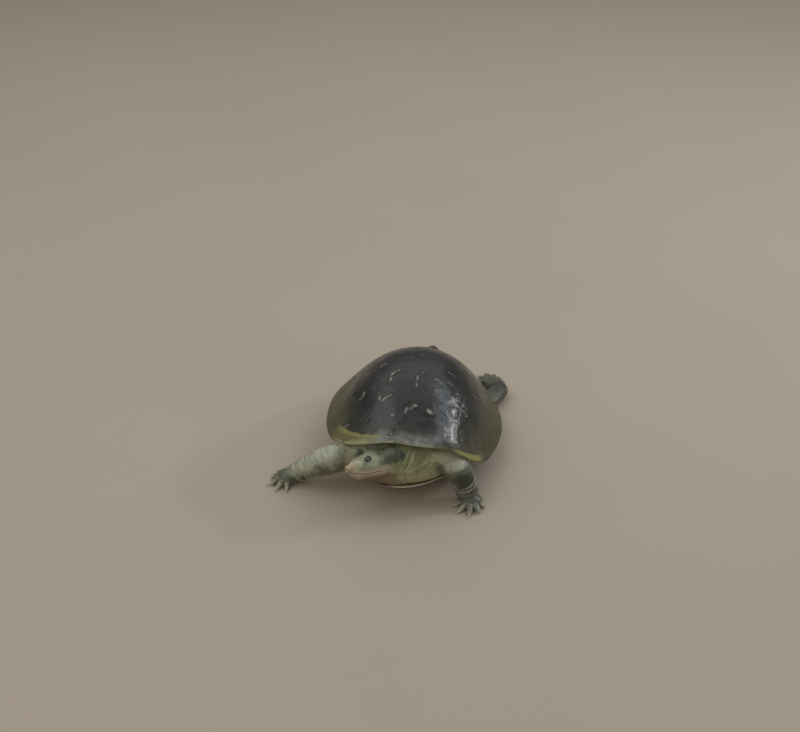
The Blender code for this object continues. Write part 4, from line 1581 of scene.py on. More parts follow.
@dataclass
class Skin:
    """The one skin of head, neck, trunk, tail, legs and feet.

    Rows of neck, neck_fold, throat, collar and tail give x, y, z, half the width and half the height. Rows of
    folds give half the width, the height and the middle line. Rows of the painted light and shade patches
    give x, y, z and reach, with the strength of a patch of painted light, or of painted shade if under 0.
    Folds and these patches are in millimetres.
    """

    shape: ShellShape
    head: HeadShape
    offset: Points
    voxel: float = 0.00052
    smoothing: int = 6
    triangles: int = 168000
    neck: tuple[Station, ...] = in_mm(
        (10, -38, 42, 25, 18),
        (10, -56, 44, 27, 20),
        (7, -69, 45, 26.5, 20.5),
        (-1, -79, 46, 23.5, 19.5),
        (-10, -85, 46.5, 19, 17),
    )
    neck_fold: tuple[Station, ...] = in_mm(
        (-58, -62, 36, 6, 5),
        (-47, -69, 43, 7, 6),
        (-33, -75.5, 50, 7.5, 6),
        (-19, -81, 56, 7.5, 6),
        (-4, -83, 59, 7, 6),
    )
    throat: tuple[Station, ...] = in_mm(
        (36, -58, 37, 13, 11),
        (28, -74, 35.5, 13.5, 11.5),
        (12, -82, 34, 14, 11.5),
        (-6, -87, 32.5, 13.5, 11),
        (-22, -86, 31, 12, 10),
    )
    collar: tuple[Station, ...] = in_mm(
        (8, -78, 46, 9, 10),
        (22, -76, 46, 9, 10),
        (34, -73, 44, 9, 10),
        (45, -68, 40, 9, 9.5),
    )
    folds: tuple[tuple[Any, ...], ...] = (
        (1.3, 0.9, (10.5, -89.5, 60.3), (9.0, -95.5, 56.0), (7.5, -99.0, 51.5), (4.0, -101.0, 45.0)),
        (1.2, 0.8, (15.5, -88.5, 59.3), (13.5, -94.0, 55.0), (11.5, -97.0, 49.0), (7.5, -99.5, 42.0)),
        (1.1, 0.6, (-4.0, -95.5, 57.8), (-2.0, -98.2, 54.0), (-1.5, -100.4, 49.0)),
        (1.1, 0.5, (2.5, -94.5, 59.0), (3.0, -98.5, 54.5), (2.0, -100.6, 49.5)),
        (1.7, 1.0, (40.0, -80.0, 48.5), (30.0, -85.0, 48.0), (20.0, -92.0, 46.5), (11.0, -97.5, 41.5)),
    )
    neck_wrinkle: float = 0.00050
    leg_wrinkle: float = 0.00040
    foot_grain: float = 0.00012
    body_swell: float = 0.00022
    crescents: tuple[float, ...] = (0.80, 0.91)
    crescent_height: float = 0.00090
    crescent_bow: float = 0.006
    # painted highlight along the raised folds of the neck
    fold_highlight: float = 0.8
    lip_margin: float = 0.002
    # patches of painted light and shade: pale where light falls, as on the left shoulder and the right arm,
    # dark where shade falls, as under the carapace's rim over the neck, on the left forearm and in the gap
    # above the plastron
    lit_and_shaded_patches: tuple[tuple[float, ...], ...] = (
        (46, -79, 47, 12, 1.7),
        (54, -80, 42, 7, 0.8),
        (29, -84, 51, 9, 0.5),
        (13, -95, 53, 5, 0.4),
        (28, -87, 42, 8, 0.5),
        (12, -98, 41, 8, 0.5),
        (-74, -83, 39, 16, 0.8),
        (-90, -86, 27, 12, 0.8),
        (-60, -86, 42, 12, 0.5),
        (-107, -87, 10, 15, 0.5),
        (66, -90, 6, 14, 0.4),
        (-13, -93, 58, 8, -1.2),
        (-3, -96, 58, 8, -1.2),
        (5, -96, 58, 5, -0.8),
        (60, -86, 30, 11, -1.0),
        (65, -83, 20, 9, -0.9),
        (54, -88, 33, 6, -0.5),
        (35, -85, 39, 5, -1.3),
        (27, -88, 37, 4, -0.9),
        (74, 92, 10, 30, -1.1),
    )
    tail: tuple[Station, ...] = in_mm(
        (0, 62, 15, 12, 7),
        (0, 78, 13, 9, 5.2),
        (0, 92, 12, 6.8, 4.4),
        (-1, 104, 10.5, 4.6, 4),
        (-3, 114, 8.8, 2.8, 2.6),
        (-4, 121, 7.5, 1.4, 1.4),
    )
    trunk_tops: tuple[float, ...] = (0.25, 0.48, 0.67, 0.82, 0.93)
    trunk_bottoms: tuple[float, ...] = (0.965, 0.50)
    trunk_recess: float = 0.24
    trunk_depth: float = 0.0045
    trunk_segments: int = 96
    slope_step: float = 0.01
    plate_clearance: float = 0.0038
    tuck_gap: float = 0.0003
    tuck_below: float = -0.001
    tuck_rounds: int = 3

    def add_trunk(self, bm: BMesh) -> None:
        """Adds the trunk: under the dome above, over the plastron below, and skin round the side.

        Args:
            bm: Mesh that receives it.
        """
        angle = np.linspace(0, 2 * np.pi, self.trunk_segments, endpoint=False)
        recess = 1 - self.trunk_recess * np.maximum(-np.sin(angle), 0.0)
        rings = []
        for share in self.trunk_tops:
            place = share * recess
            out, _ = self.shape.outward(place, angle, self.slope_step)
            rings.append(self.shape.dome(place, angle) - out * self.trunk_depth)
        for share in self.trunk_bottoms:
            rings.append(self.shape.plate(share * recess, angle) + (0, 0, self.plate_clearance))
        add_rings(bm, [self.shape.stand(ring) for ring in rings])

    def fused(self) -> Object:
        """All the flesh as one closed body on a fine even grid.

        Returns:
            The piece, smooth and without its folds.
        """
        bm = bmesh.new()
        self.head.add(bm)
        for stations in (self.neck, self.neck_fold, self.throat, self.collar, self.tail):
            add_loft(bm, stations)
        for limb, foot in FEET.items():
            add_loft(bm, LEG_STATIONS[limb])
            foot.add(bm)
        self.add_trunk(bm)
        bmesh.ops.recalc_face_normals(bm, faces=bm.faces)
        mesh = bpy.data.meshes.new("skin")
        bm.to_mesh(mesh)
        bm.free()
        thing = new_object("skin", mesh)
        remesh = thing.modifiers.new("Fuse", "REMESH")
        remesh.mode = "VOXEL"
        remesh.voxel_size = self.voxel * 1
        soften = thing.modifiers.new("Soften", "SMOOTH")
        soften.iterations = self.smoothing
        settle(thing)
        return thing

    def crinkle(self, places: Points, size: float, seed: int) -> Points:
        """Network of narrow creases between low rolls.

        Args:
            places: Places whose first coordinate runs across the creases.
            size: Distance between creases.
            seed: Which network.

        Returns:
            Heights from about -1 in a crease to 0.4 on a roll.
        """
        drift = 0.35 * size * lattice_noise(places, size * 2.3, seed + 1)
        first = lattice_noise(places + drift[:, None], size, seed)
        second = lattice_noise(places * (0.8, 1.5, 1.5), size * 0.6, seed + 2)
        crease = np.maximum(1 - np.abs(first) * 3.4, 0.0) ** 1.4
        fine = np.maximum(1 - np.abs(second) * 3.0, 0.0)
        return 0.4 * np.minimum(np.abs(first) * 2.0, 1.0) - crease - 0.30 * fine

    def neck_relief(self, points: Points) -> Points:
        """Folds of the loose neck skin: a crinkled surface with a few raised folds.

        Args:
            points: Places on the skin.

        Returns:
            The heights.
        """
        along, gap, _ = Path(middle_line(self.neck)).measure(points)
        places = np.stack([along + points[:, 0] * 0.2, points[:, 0] * 0.30, points[:, 2] * 0.30], axis=-1)
        here = smooth(0.036, 0.024, gap) * smooth(0.004, 0.012, along)
        _, head_gap, _ = Path(self.head.frame.world([(0.0, 0, 0), (0.040, 0, 0)])).measure(points)
        here = here * smooth(0.013, 0.022, head_gap) * smooth(-0.030, -0.050, points[:, 1])
        raised = sum(height * bell(gap, width) for gap, width, height in self.fold_gaps(points))
        return here * (self.neck_wrinkle * self.crinkle(places, 0.0040, 41) + raised * MM)

    def fold_gaps(self, points: Points) -> list[tuple[Points, float, float]]:
        """How far each raised fold of the neck is from each place.

        Args:
            points: Places on the skin.

        Returns:
            For each fold the distances, its half width in metres and its height in millimetres.
        """
        gaps = []
        for width, height, *line in self.folds:
            _, gap, _ = Path(np.array(line) * MM).measure(points)
            gaps.append((gap, width * MM, height))
        return gaps

    def leg_relief(self, points: Points) -> Points:
        """Wrinkles round the legs, and the broad crescent folds above the front feet.

        Args:
            points: Places on the skin.

        Returns:
            The heights.
        """
        height = np.zeros(len(points))
        for limb, stations in LEG_STATIONS.items():
            line = middle_line(stations)
            length = np.linalg.norm(np.diff(line, axis=0), axis=1).sum()
            along, gap, away = Path(line).measure(points)
            share = along / length
            here = smooth(0.019, 0.014, gap) * smooth(0.05, 0.2, share) * smooth(0.98, 0.86, share)
            places = np.stack([along, *(points[:, :2] * 0.35).T], axis=-1)
            height += here * self.leg_wrinkle * self.crinkle(places, 0.0036, 51)
            if limb in (Limb.FRONT_LEFT, Limb.FRONT_RIGHT):
                outward = 1.0 if limb is Limb.FRONT_LEFT else -1.0
                facing = away @ np.array([0.25 * outward, -0.95, 0.15])
                here = smooth(-0.15, 0.45, facing) * smooth(0.019, 0.014, gap)
                for place in self.crescents:
                    past = along + self.crescent_bow * (1 - facing) - place * length
                    ridge = smooth(-0.0042, -0.0006, past) * smooth(0.0009, -0.0003, past)
                    height += self.crescent_height * ridge * here
        return height

    def foot_relief(self, points: Points) -> Points:
        """Small bumps over the feet."""
        return self.foot_grain * smooth(0.022, 0.014, points[:, 2]) * lattice_noise(points, 0.0022, 61)

    def relief(self, points: Points) -> Points:
        """Height of all the folds over the smooth body.

        Args:
            points: Places on the skin.

        Returns:
            The heights.
        """
        places = self.head.frame.local(points)
        on_head = smooth(0.044, 0.036, places[:, 0]) * smooth(0.026, 0.021, np.abs(places[:, 1]))
        on_head = on_head * smooth(0.021, 0.018, np.abs(places[:, 2] + 0.002))
        body = self.neck_relief(points) + self.leg_relief(points) + self.foot_relief(points)
        body = body + self.body_swell * lattice_noise(points, 0.0060, 71) * smooth(0.0, 0.006, points[:, 2])
        return body * (1 - on_head) + self.head.relief(places) * on_head

    def thin(self, thing: Object) -> None:
        """Thins the skin to its count of triangles, but for the head, which keeps the even grid.

        Args:
            thing: The skin.
        """
        mesh = thing.data
        places = self.head.frame.local(coordinates(mesh))
        head = self.head.within(places, self.head.even_length)
        group = thing.vertex_groups.new(name="thinned")
        group.add(np.flatnonzero(~head).tolist(), 1.0, "REPLACE")
        decimate = thing.modifiers.new("Thin", "DECIMATE")
        decimate.vertex_group = group.name
        decimate.ratio = min(1.0, self.triangles / (2 * len(mesh.polygons)))
        settle(thing)
        thing.vertex_groups.clear()

    def refine(self, thing: Object) -> None:
        """Divides the faces round the eyes, the mouth and the nostrils once more.

        Args:
            thing: The skin.
        """
        bm = bmesh.new()
        bm.from_mesh(thing.data)
        places = self.head.frame.local(coordinates(thing.data))
        behind, _, above = places.T
        eyes = (self.head.eye.rim_size(places) < 2.1) & (above > 0) & (behind > 0.010) & (behind < 0.030)
        mouth = (np.abs(above - self.head.mouth_height(behind)) < 0.0016)
        mouth &= behind < self.head.mouth_corner + 0.001
        wanted = (eyes | mouth | (behind < 0.0045)) & self.head.within(places, self.head.refined_length)
        bm.verts.ensure_lookup_table()
        edges = [edge for edge in bm.edges if wanted[edge.verts[0].index] and wanted[edge.verts[1].index]]
        bmesh.ops.subdivide_edges(bm, edges=edges, cuts=1, use_grid_fill=True)
        bmesh.ops.triangulate(bm, faces=bm.faces)
        bm.to_mesh(thing.data)
        bm.free()

    def build(self) -> Object:
        """Makes the skin.

        Returns:
            The piece, with what its finish reads stored on it.
        """
        thing = self.fused()
        points = coordinates(thing.data)
        move_vertices(thing.data, points + normals(thing.data) * self.relief(points)[:, None])
        self.thin(thing)
        self.refine(thing)
        mesh = thing.data
        places = self.head.nostrils(self.head.frame.local(coordinates(mesh)))
        for side in SIDES:
            places = self.head.eye.lids(places, side)
        points = self.tuck(self.head.frame.world(places))
        points[:, 2] = np.maximum(points[:, 2], 0.0)
        move_vertices(mesh, points)
        self.record(mesh, points)
        move_vertices(mesh, points + self.offset)
        return thing

    def tuck(self, points: Points) -> Points:
        """Keeps the skin above the lower plate wherever it lies over that plate.

        Args:
            points: The skin's points.

        Returns:
            The points, those inside the plate raised over it.
        """
        level = self.shape.level(points)
        angle = np.arctan2(level[:, 1] / self.shape.plate_front, level[:, 0] / self.shape.plate_half_width)
        for _ in range(self.tuck_rounds):
            edge = self.shape.plate(np.ones_like(angle), angle)
            angle += np.arctan2(level[:, 1], level[:, 0]) - np.arctan2(edge[:, 1], edge[:, 0])
        share = np.hypot(level[:, 0], level[:, 1]) / np.hypot(edge[:, 0], edge[:, 1])
        top = self.shape.plate(share, angle)[:, 2] + self.shape.plate_thickness + self.tuck_gap
        low = (share < 1.0) & (level[:, 2] < top) & (level[:, 2] > self.tuck_below)
        level[low, 2] = top[low]
        return self.shape.stand(level)

    def limb_shares(self, points: Points, digits: Points) -> tuple[Points, Points]:
        """How much of each place belongs to a limb or the tail, and how much to a foot.

        Args:
            points: Places on the skin.
            digits: Distance of each from the nearest digit.

        Returns:
            The limbs' shares and the feet's shares.
        """
        limbs = np.maximum(smooth(0.020, 0.014, digits), smooth(0.064, 0.078, points[:, 1]))
        feet = np.zeros(len(points))
        for limb, foot in FEET.items():
            _, gap, _ = Path(middle_line(LEG_STATIONS[limb][2:])).measure(points)
            limbs = np.maximum(limbs, smooth(0.020, 0.0145, gap))
            size = 1.5 if limb in (Limb.REAR_LEFT, Limb.REAR_RIGHT) else 1.0
            away = np.linalg.norm(points[:, :2] - foot.centre()[:2], axis=1) / size
            feet = np.maximum(feet, smooth(0.024, 0.018, away))
        return limbs, feet * smooth(0.014, 0.010, points[:, 2])

    def painted_light_and_tone(self, points: Points) -> Points:
        """How light or dark the skin is painted: patches of painted light and shade, and painted highlights
        on its raised folds.

        Args:
            points: Places on the skin.

        Returns:
            The tone, where 1 is palest and -1 is darkest.
        """
        painted_light_and_tone = np.zeros(len(points))
        for x, y, z, reach, strength in self.lit_and_shaded_patches:
            painted_light_and_tone += strength * bell(np.linalg.norm(points / MM - (x, y, z), axis=1), reach)
        # painted highlights along the raised folds
        for gap, width, height in self.fold_gaps(points):
            painted_light_and_tone += self.fold_highlight * height * bell(gap, width)
        return painted_light_and_tone

    def lips(self, places: Points) -> Points:
        """Where the lips are painted, with painted shade in the line between them.

        Args:
            places: Skin points in the head's frame.

        Returns:
            1 on the lips and -1 on the line.
        """
        behind, aside, above = places.T
        half_width = np.interp(behind, *np.array(self.head.sections).T[:2])
        here = self.head.within(places, self.head.refined_length)
        here &= np.abs(aside) < half_width + self.lip_margin
        off = above - self.head.mouth_height(behind)
        return (bell(off, 0.0021) - 2.0 * bell(off, 0.00038)) * self.head.mouth_mask(behind) * here

    def record(self, mesh: Mesh, points: Points) -> None:
        """Stores what the finish reads: places on the head, the folds' height, the digits and the underside.

        Args:
            mesh: The skin's mesh.
            points: Its vertices before they are offset.
        """
        places = self.head.frame.local(points)
        digits = np.min([foot.digit_distance(points) for foot in FEET.values()], axis=0)
        limbs, feet = self.limb_shares(points, digits)
        spread = 0.10 * lattice_noise(points, 0.012, 81) + 0.06 * lattice_noise(points, 0.004, 82)
        level = self.shape.level(points)[:, 2] + 0.004 * lattice_noise(points, 0.010, 83)
        for name, values in (
            ("head_place", places / MM),
            ("lid", self.head.eye.rim_size(places)),
            ("fold", (self.neck_relief(points) + self.leg_relief(points)) / MM),
            ("digit", digits / MM),
            ("limb", limbs),
            ("foot", feet),
            ("painted_light_and_tone", self.painted_light_and_tone(points)),
            ("pale", smooth(0.30, 0.80, spread - normals(mesh)[:, 2])),
            ("low", smooth(0.032, 0.018, level)),
            ("lips", self.lips(places)),
        ):
            store(mesh, name, values)

    def dress(self, thing: Object, material: Material) -> None:
        """Gives the skin its finish and its place in the frame."""
        fleshy = [f"{part}_{limb.value}" for part in ("leg", "foot") for limb in Limb]
        finish_piece(thing, ["head", "neck", "trunk", "tail", *fleshy], material)


@dataclass
class Eyeball:
    """One eye: a ball with its cornea raised over the iris."""

    head: HeadShape
    offset: Points
    word: str
    side: float
    segments: int = 64
    rings: int = 40
    cornea: float = 0.00022
    cornea_reach: float = 0.62
    pole_tilt: float = 0.01

    def build(self) -> Object:
        """Makes the eyeball round its own axis.

        Returns:
            The piece, with the angle from its axis stored for the iris.
        """
        eye = self.head.eye
        tilts = np.linspace(self.pole_tilt, math.pi - self.pole_tilt, self.rings)
        tilt, turn = round_grid(tilts, self.segments)
        radius = eye.radius - self.cornea + self.cornea * np.exp(-((tilt / self.cornea_reach) ** 4))
        local = np.stack([np.sin(tilt) * np.cos(turn), np.sin(tilt) * np.sin(turn), np.cos(tilt)], axis=-1)
        places = eye.centre(self.side) + (local * radius[..., None]) @ eye.axes(self.side)
        mesh = grid_mesh("eyeball", self.head.frame.world(places) + self.offset, closed=True)
        store(mesh, "tilt", tilt.ravel())
        store(mesh, "turn", local.reshape(-1, 3))
        close_mesh(mesh)
        return new_object(f"eyeball_{self.word}", mesh)

    def dress(self, thing: Object, material: Material) -> None:
        """Gives the eye its finish and its place in the frame."""
        finish_piece(thing, [f"eye_{self.word}"], material)


@dataclass
class ClawSet:
    """The three claws of one foot, each a curve that the claw tree sweeps into a tapering horn."""

    limb: Limb
    offset: Points
    tree: NodeTree
    horn: Material
    length: float = 0.0052
    rooted: float = 0.0010
    root_radius: float = 0.00118
    tip_radius: float = 0.00020
    tip_height: float = 0.0009
    root_rise: float = 0.0004
    arch: float = 0.00075
    points: int = 7

    def lines(self) -> Points:
        """Middle lines of the claws.

        Returns:
            The points, as claws, points and coordinates.
        """
        foot = FEET[self.limb]
        share = np.linspace(0, 1, self.points)[:, None]
        arch = np.array([0, 0, self.arch]) * np.sin(np.pi * share)
        lines = []
        for index in range(foot.clawed):
            ahead, reach = foot.direction(index), foot.digits[index]
            root = foot.centre() + ahead * (reach - self.rooted) + (0, 0, foot.tip_height + self.root_rise)
            tip = foot.centre() + ahead * (reach + self.length) + (0, 0, self.tip_height)
            lines.append(root * (1 - share) + tip * share + arch)
        return np.array(lines) + self.offset

    def build(self) -> Object:
        """Makes the claws.

        Returns:
            One piece with the foot's claws.
        """
        lines = self.lines()
        index = np.arange(lines.shape[0] * self.points).reshape(-1, self.points)
        edges = np.stack([index[:, :-1], index[:, 1:]], axis=-1).reshape(-1, 2)
        mesh = bpy.data.meshes.new("claw_lines")
        mesh.from_pydata(lines.reshape(-1, 3).tolist(), edges.tolist(), [])
        thing = new_object(f"claws_{self.limb.value}", mesh)
        modifier = thing.modifiers.new("Claws", "NODES")
        modifier.node_group = self.tree
        inputs = {"Root Radius": self.root_radius, "Tip Radius": self.tip_radius, "Material": self.horn}
        for name, value in inputs.items():
            modifier[socket_identifier(self.tree, name)] = value
        settle(thing)
        return thing

    def dress(self, thing: Object, material: Material) -> None:
        """Gives the claws their finish and their place in the frame."""
        nodes = [f"claw_{self.limb.value}_{index + 1}" for index in range(FEET[self.limb].clawed)]
        finish_piece(thing, nodes, material)


def socket_identifier(tree: NodeTree, name: str) -> str:
    """Identifier of a node tree's named input."""
    inputs = (item for item in tree.interface.items_tree if item.in_out == "INPUT")
    return next(item.identifier for item in inputs if item.name == name)


def claw_tree() -> NodeTree:
    """Builds the geometry node tree that sweeps claws along lines.

    Returns:
        The tree, with its sizes and material as named inputs.
    """
    tree = bpy.data.node_groups.new("Claw sweep", "GeometryNodeTree")
    tree.interface.new_socket("Geometry", in_out="INPUT", socket_type="NodeSocketGeometry")
    for name, kind, value in (
        ("Root Radius", "NodeSocketFloat", 0.001),
        ("Tip Radius", "NodeSocketFloat", 0.0002),
        ("Rings", "NodeSocketInt", 30),
        ("Sides", "NodeSocketInt", 16),
        ("Taper", "NodeSocketFloat", 1.35),
    ):
        tree.interface.new_socket(name, in_out="INPUT", socket_type=kind).default_value = value
    tree.interface.new_socket("Material", in_out="INPUT", socket_type="NodeSocketMaterial")
    tree.interface.new_socket("Geometry", in_out="OUTPUT", socket_type="NodeSocketGeometry")
    source = tree.nodes.new("NodeGroupInput").outputs

    def add(kind: str, inputs: dict[Any, Any], **settings: Any) -> bpy.types.Node:
        """Adds a node.

        Args:
            kind: The node's type.
            inputs: Values or sockets, by name or number.
            **settings: Its properties.

        Returns:
            The node.
        """
        node = tree.nodes.new(kind)
        for key, value in settings.items():
            setattr(node, key, value)
        for key, value in inputs.items():
            if isinstance(value, bpy.types.NodeSocket):
                tree.links.new(value, node.inputs[key])
            else:
                node.inputs[key].default_value = value
        return node

    line = add("GeometryNodeMeshToCurve", {"Mesh": source["Geometry"]})
    even = add("GeometryNodeResampleCurve", {"Curve": line.outputs[0], "Count": source["Rings"]})
    place = add("GeometryNodeSplineParameter", {})
    shape = add("ShaderNodeMath", {0: place.outputs["Factor"], 1: source["Taper"]}, operation="POWER")
    span = add("ShaderNodeMath", {0: source["Tip Radius"], 1: source["Root Radius"]}, operation="SUBTRACT")
    part = add("ShaderNodeMath", {0: span.outputs[0], 1: shape.outputs[0]}, operation="MULTIPLY")
    radius = add("ShaderNodeMath", {0: part.outputs[0], 1: source["Root Radius"]}, operation="ADD")
    mark = {"Geometry": even.outputs[0], "Name": "along", "Value": place.outputs["Factor"]}
    marked = add("GeometryNodeStoreNamedAttribute", mark, data_type="FLOAT")
    ring = add("GeometryNodeCurvePrimitiveCircle", {"Resolution": source["Sides"], "Radius": 1.0})
    sweep = {"Curve": marked.outputs[0], "Profile Curve": ring.outputs[0], "Scale": radius.outputs[0]}
    swept = add("GeometryNodeCurveToMesh", {**sweep, "Fill Caps": True})
    real = add("GeometryNodeRealizeInstances", {"Geometry": swept.outputs[0]})
    dressed = add("GeometryNodeSetMaterial", {"Geometry": real.outputs[0], "Material": source["Material"]})
    end = tree.nodes.new("NodeGroupOutput")
    tree.links.new(dressed.outputs[0], end.inputs[0])
    return tree


# ---- finishes ----


@dataclass(frozen=True)
class CarapaceFinish:
    """Moist charcoal skin on the dome, leathery and olive towards the margin, with dark-edged flecks, a
    painted sheen over the neck and a margin painted paler on the right side as painted light.
    """

    dark: Colour = (0.0120, 0.0123, 0.0128)
    light: Colour = (0.0275, 0.0280, 0.0275)
    green: Colour = (0.046, 0.048, 0.026)
    margin: Colour = (0.046, 0.042, 0.020)
    margin_pale: Colour = (0.100, 0.090, 0.042)
    rim: Colour = (0.42, 0.42, 0.25)
    band: Colour = (0.30, 0.28, 0.095)
    fleck: Colour = (0.250, 0.255, 0.225)
    border: Colour = (0.006, 0.0065, 0.0065)
    # painted sheen: paler grey that stands in for the reflection over the neck
    painted_sheen: Colour = (0.190, 0.196, 0.190)
    under: Colour = (0.40, 0.35, 0.25)

    def material(self) -> Material:
        """Builds the material.

        Returns:
            The material.
        """
        g = Graph("Carapace skin")
        share, bearing, side = g.attributes("share", "bearing", "side")
        fleck, ink, under = g.attributes("fleck", "ink", "under")
        patches, mottle, grain = g.noise(0.030, 4), g.noise(0.0065, 5, 0.6), g.noise(0.0009, 3)
        # the dome's charcoal, then olive and leather towards the margin
        base = g.mix((patches * 0.6 + mottle * 0.5).step(0.35, 0.75), self.dark, self.light)
        wander = (patches - 0.5) * 0.12 + (mottle - 0.5) * 0.08
        green = (share - bearing.most(0.0) * 0.25 + wander).step(0.46, 0.78)
        base = g.mix(green * 0.85, base, self.green)
        edge = (share - bearing.most(0.0) ** 1.5 * 0.24 + wander).step(0.70, 0.88)
        leather = g.mix((mottle * 0.8 + grain * 0.3).step(0.35, 0.72), self.margin, self.margin_pale)
        base = g.mix(edge * 0.85, base, leather)
        # painted light: the margin on the right side is painted paler, where more light falls on it
        base = g.mix(edge * side.step(-0.25, -0.75) * (0.25 + mottle * 0.5), base, self.margin_pale)
        stain = g.noise(0.0022, 4, 0.7).step(0.60, 0.72) * edge
        base = g.mix(stain * 0.5, base, self.border)
        # painted sheen: a paler grey strip over the neck that stands in for the light's reflection on the
        # dome's front
        painted_sheen = (share + wander * 0.6).step(0.82, 0.92) * abs(side + wander).step(0.50, 0.25)
        painted_sheen = painted_sheen * bearing.step(0.6, 0.8) * (mottle * 1.1 + grain * 0.4).step(0.45, 0.95)
        base = g.mix(painted_sheen, base, self.painted_sheen)
        # ink marks, and flecks with dark borders
        rough_edge = (mottle - 0.5) * 0.7 + (grain - 0.5) * 0.4
        base = g.mix((ink + rough_edge).step(1.5, 0.7) * 0.85, base, self.border)
        base = g.mix((fleck + rough_edge * 1.6).step(3.2, 1.25) * 0.85, base, self.border)
        front = (bearing + (patches - 0.5) * 0.4).step(-0.25, 0.35)
        broken = g.noise(0.0028, 4, 0.7).step(0.38, 0.56) * (0.35 + front * 0.65)
        base = g.mix((fleck + rough_edge).step(1.25, 0.70) * broken, base, self.fleck)
        # yellow bands at the two front corners
        drifted, ahead = side + wander * 0.5, bearing.step(0.0, 0.2)
        corner = (side + wander).step(-0.22, -0.31) * drifted.step(-0.82, -0.74) * ahead
        inner = share + wander * 0.22
        broken = (inner.step(0.945, 0.915) * 0.55 + 0.10 + mottle * 0.55).least(1.0)
        band = corner * inner.step(0.895, 0.910) * broken
        spot = drifted.step(-0.62, -0.52) * drifted.step(-0.30, -0.40) * ahead
        band = band.most(spot * inner.step(0.935, 0.955) * (0.5 + mottle * 0.8).least(1.0))
        left = drifted.step(0.52, 0.62) * side.step(0.88, 0.80) * ahead
        band = band.most(left * (share + wander * 0.25).step(0.945, 0.965))
        base = g.mix(band * 0.9, base, self.band)
        # the pale line along the front rim, and the underside
        front = (bearing + (patches - 0.5) * 0.2).step(0.62, 0.80) * (side + wander).step(0.60, 0.25)
        line = (share + (mottle - 0.5) * 0.016).step(0.980, 0.992) * front
        base = g.mix(line * (mottle * 2.2 - 0.45).least(0.85).most(0.0), base, self.rim)
        below = g.mix(g.noise(0.006, 4).step(0.45, 0.7) * 0.5, self.under, self.margin_pale)
        base = g.mix(under, base, below)
        # gloss and relief
        rough = 0.27 + edge * 0.22 + (grain - 0.5) * 0.12 + (mottle - 0.5) * 0.20 + under * 0.2
        ridge = (fleck + rough_edge * 0.5).step(1.6, 0.4)
        swell = mottle * 0.6 + patches * 0.8 + g.noise(0.012, 3) * 1.4 + ridge * 0.5
        pits = g.bump(g.cells(0.0011, "SMOOTH_F1"), 0.00008, 0.4, g.bump(swell, 0.0012, 0.60))
        wrinkles = g.bump(g.noise(0.0017, 4, 0.65) * (0.12 + edge), 0.00024, 0.6, pits)
        return g.shade(base, rough, wrinkles, {"Coat Roughness": 0.10, "Coat Weight": 0.06 - edge * 0.04})


@dataclass(frozen=True)
class BellyFinish:
    """Cream skin over the plastron, with greyer granular pads and the head's shade painted brown on the right
    of its front edge.
    """

    cream: Colour = (0.52, 0.44, 0.30)
    blush: Colour = (0.50, 0.36, 0.26)
    pad: Colour = (0.40, 0.37, 0.29)
    stain: Colour = (0.26, 0.21, 0.13)
    inside: Colour = (0.250, 0.240, 0.125)
    # painted shade: the brown of the head's shade on the plate's front edge
    head_shade: Colour = (0.115, 0.075, 0.042)
    rim: Colour = (0.80, 0.76, 0.56)

    def material(self) -> Material:
        """Builds the material.

        Returns:
            The material.
        """
        g = Graph("Belly skin")
        pad, share, inside, side, bearing = g.attributes("pad", "share", "inside", "side", "bearing")
        patches, mottle = g.noise(0.018, 4), g.noise(0.0035, 5, 0.6)
        base = g.mix(patches.step(0.4, 0.7) * 0.8, self.cream, self.blush)
        grains = g.cells(0.0013, "SMOOTH_F1")
        base = g.mix(pad * (0.6 + grains * 0.4), base, self.pad)
        base = g.mix(mottle.step(0.55, 0.75) * 0.45, base, self.stain)
        base = g.mix(share.step(0.90, 0.96) * share.step(1.0, 0.98) * 0.30, base, self.stain)
        inner = (share + (mottle - 0.5) * 0.012).step(0.982, 0.970) * inside
        base = g.mix(inner * (0.7 + patches * 0.4).least(1.0), base, self.inside)
        ahead = bearing.step(0.1, 0.5)
        rim = share.step(0.984, 0.994) * side.step(-0.10, 0.06) * ahead
        base = g.mix(rim * (0.5 + patches).least(1.0), base, self.rim)
        # painted shade: the head's shade, brown, over the right of the front edge
        head_shade = side.step(0.02, -0.16) * ahead * share.step(0.90, 0.96)
        base = g.mix(head_shade * (0.55 + patches * 0.6).least(0.95), base, self.head_shade)
        bump = g.bump(grains * pad + mottle * 0.35, 0.00028, 0.55)
        fine = g.bump(g.noise(0.0008, 3), 0.00007, 0.4, bump)
        rough = 0.48 + pad * 0.14 + (mottle - 0.5) * 0.2
        return g.shade(base, rough, fine, {"Coat Roughness": 0.25, "Coat Weight": 0.12})


@dataclass(frozen=True)
class FlapFinish:
    """Soft cream skin of the rear flaps, freckled with grey."""

    cream: Colour = (0.50, 0.42, 0.29)
    freckle: Colour = (0.17, 0.15, 0.10)

    def material(self) -> Material:
        """Builds the material.

        Returns:
            The material.
        """
        g = Graph("Flap skin")
        mottle, fine = g.noise(0.0045, 5, 0.6), g.noise(0.0012, 4)
        base = g.mix((mottle * 0.7 + fine * 0.3).step(0.50, 0.68) * 0.6, self.cream, self.freckle)
        bump = g.bump(fine + mottle, 0.0002, 0.6)
        return g.shade(base, 0.42 + mottle * 0.25, bump, {"Coat Weight": 0.10})


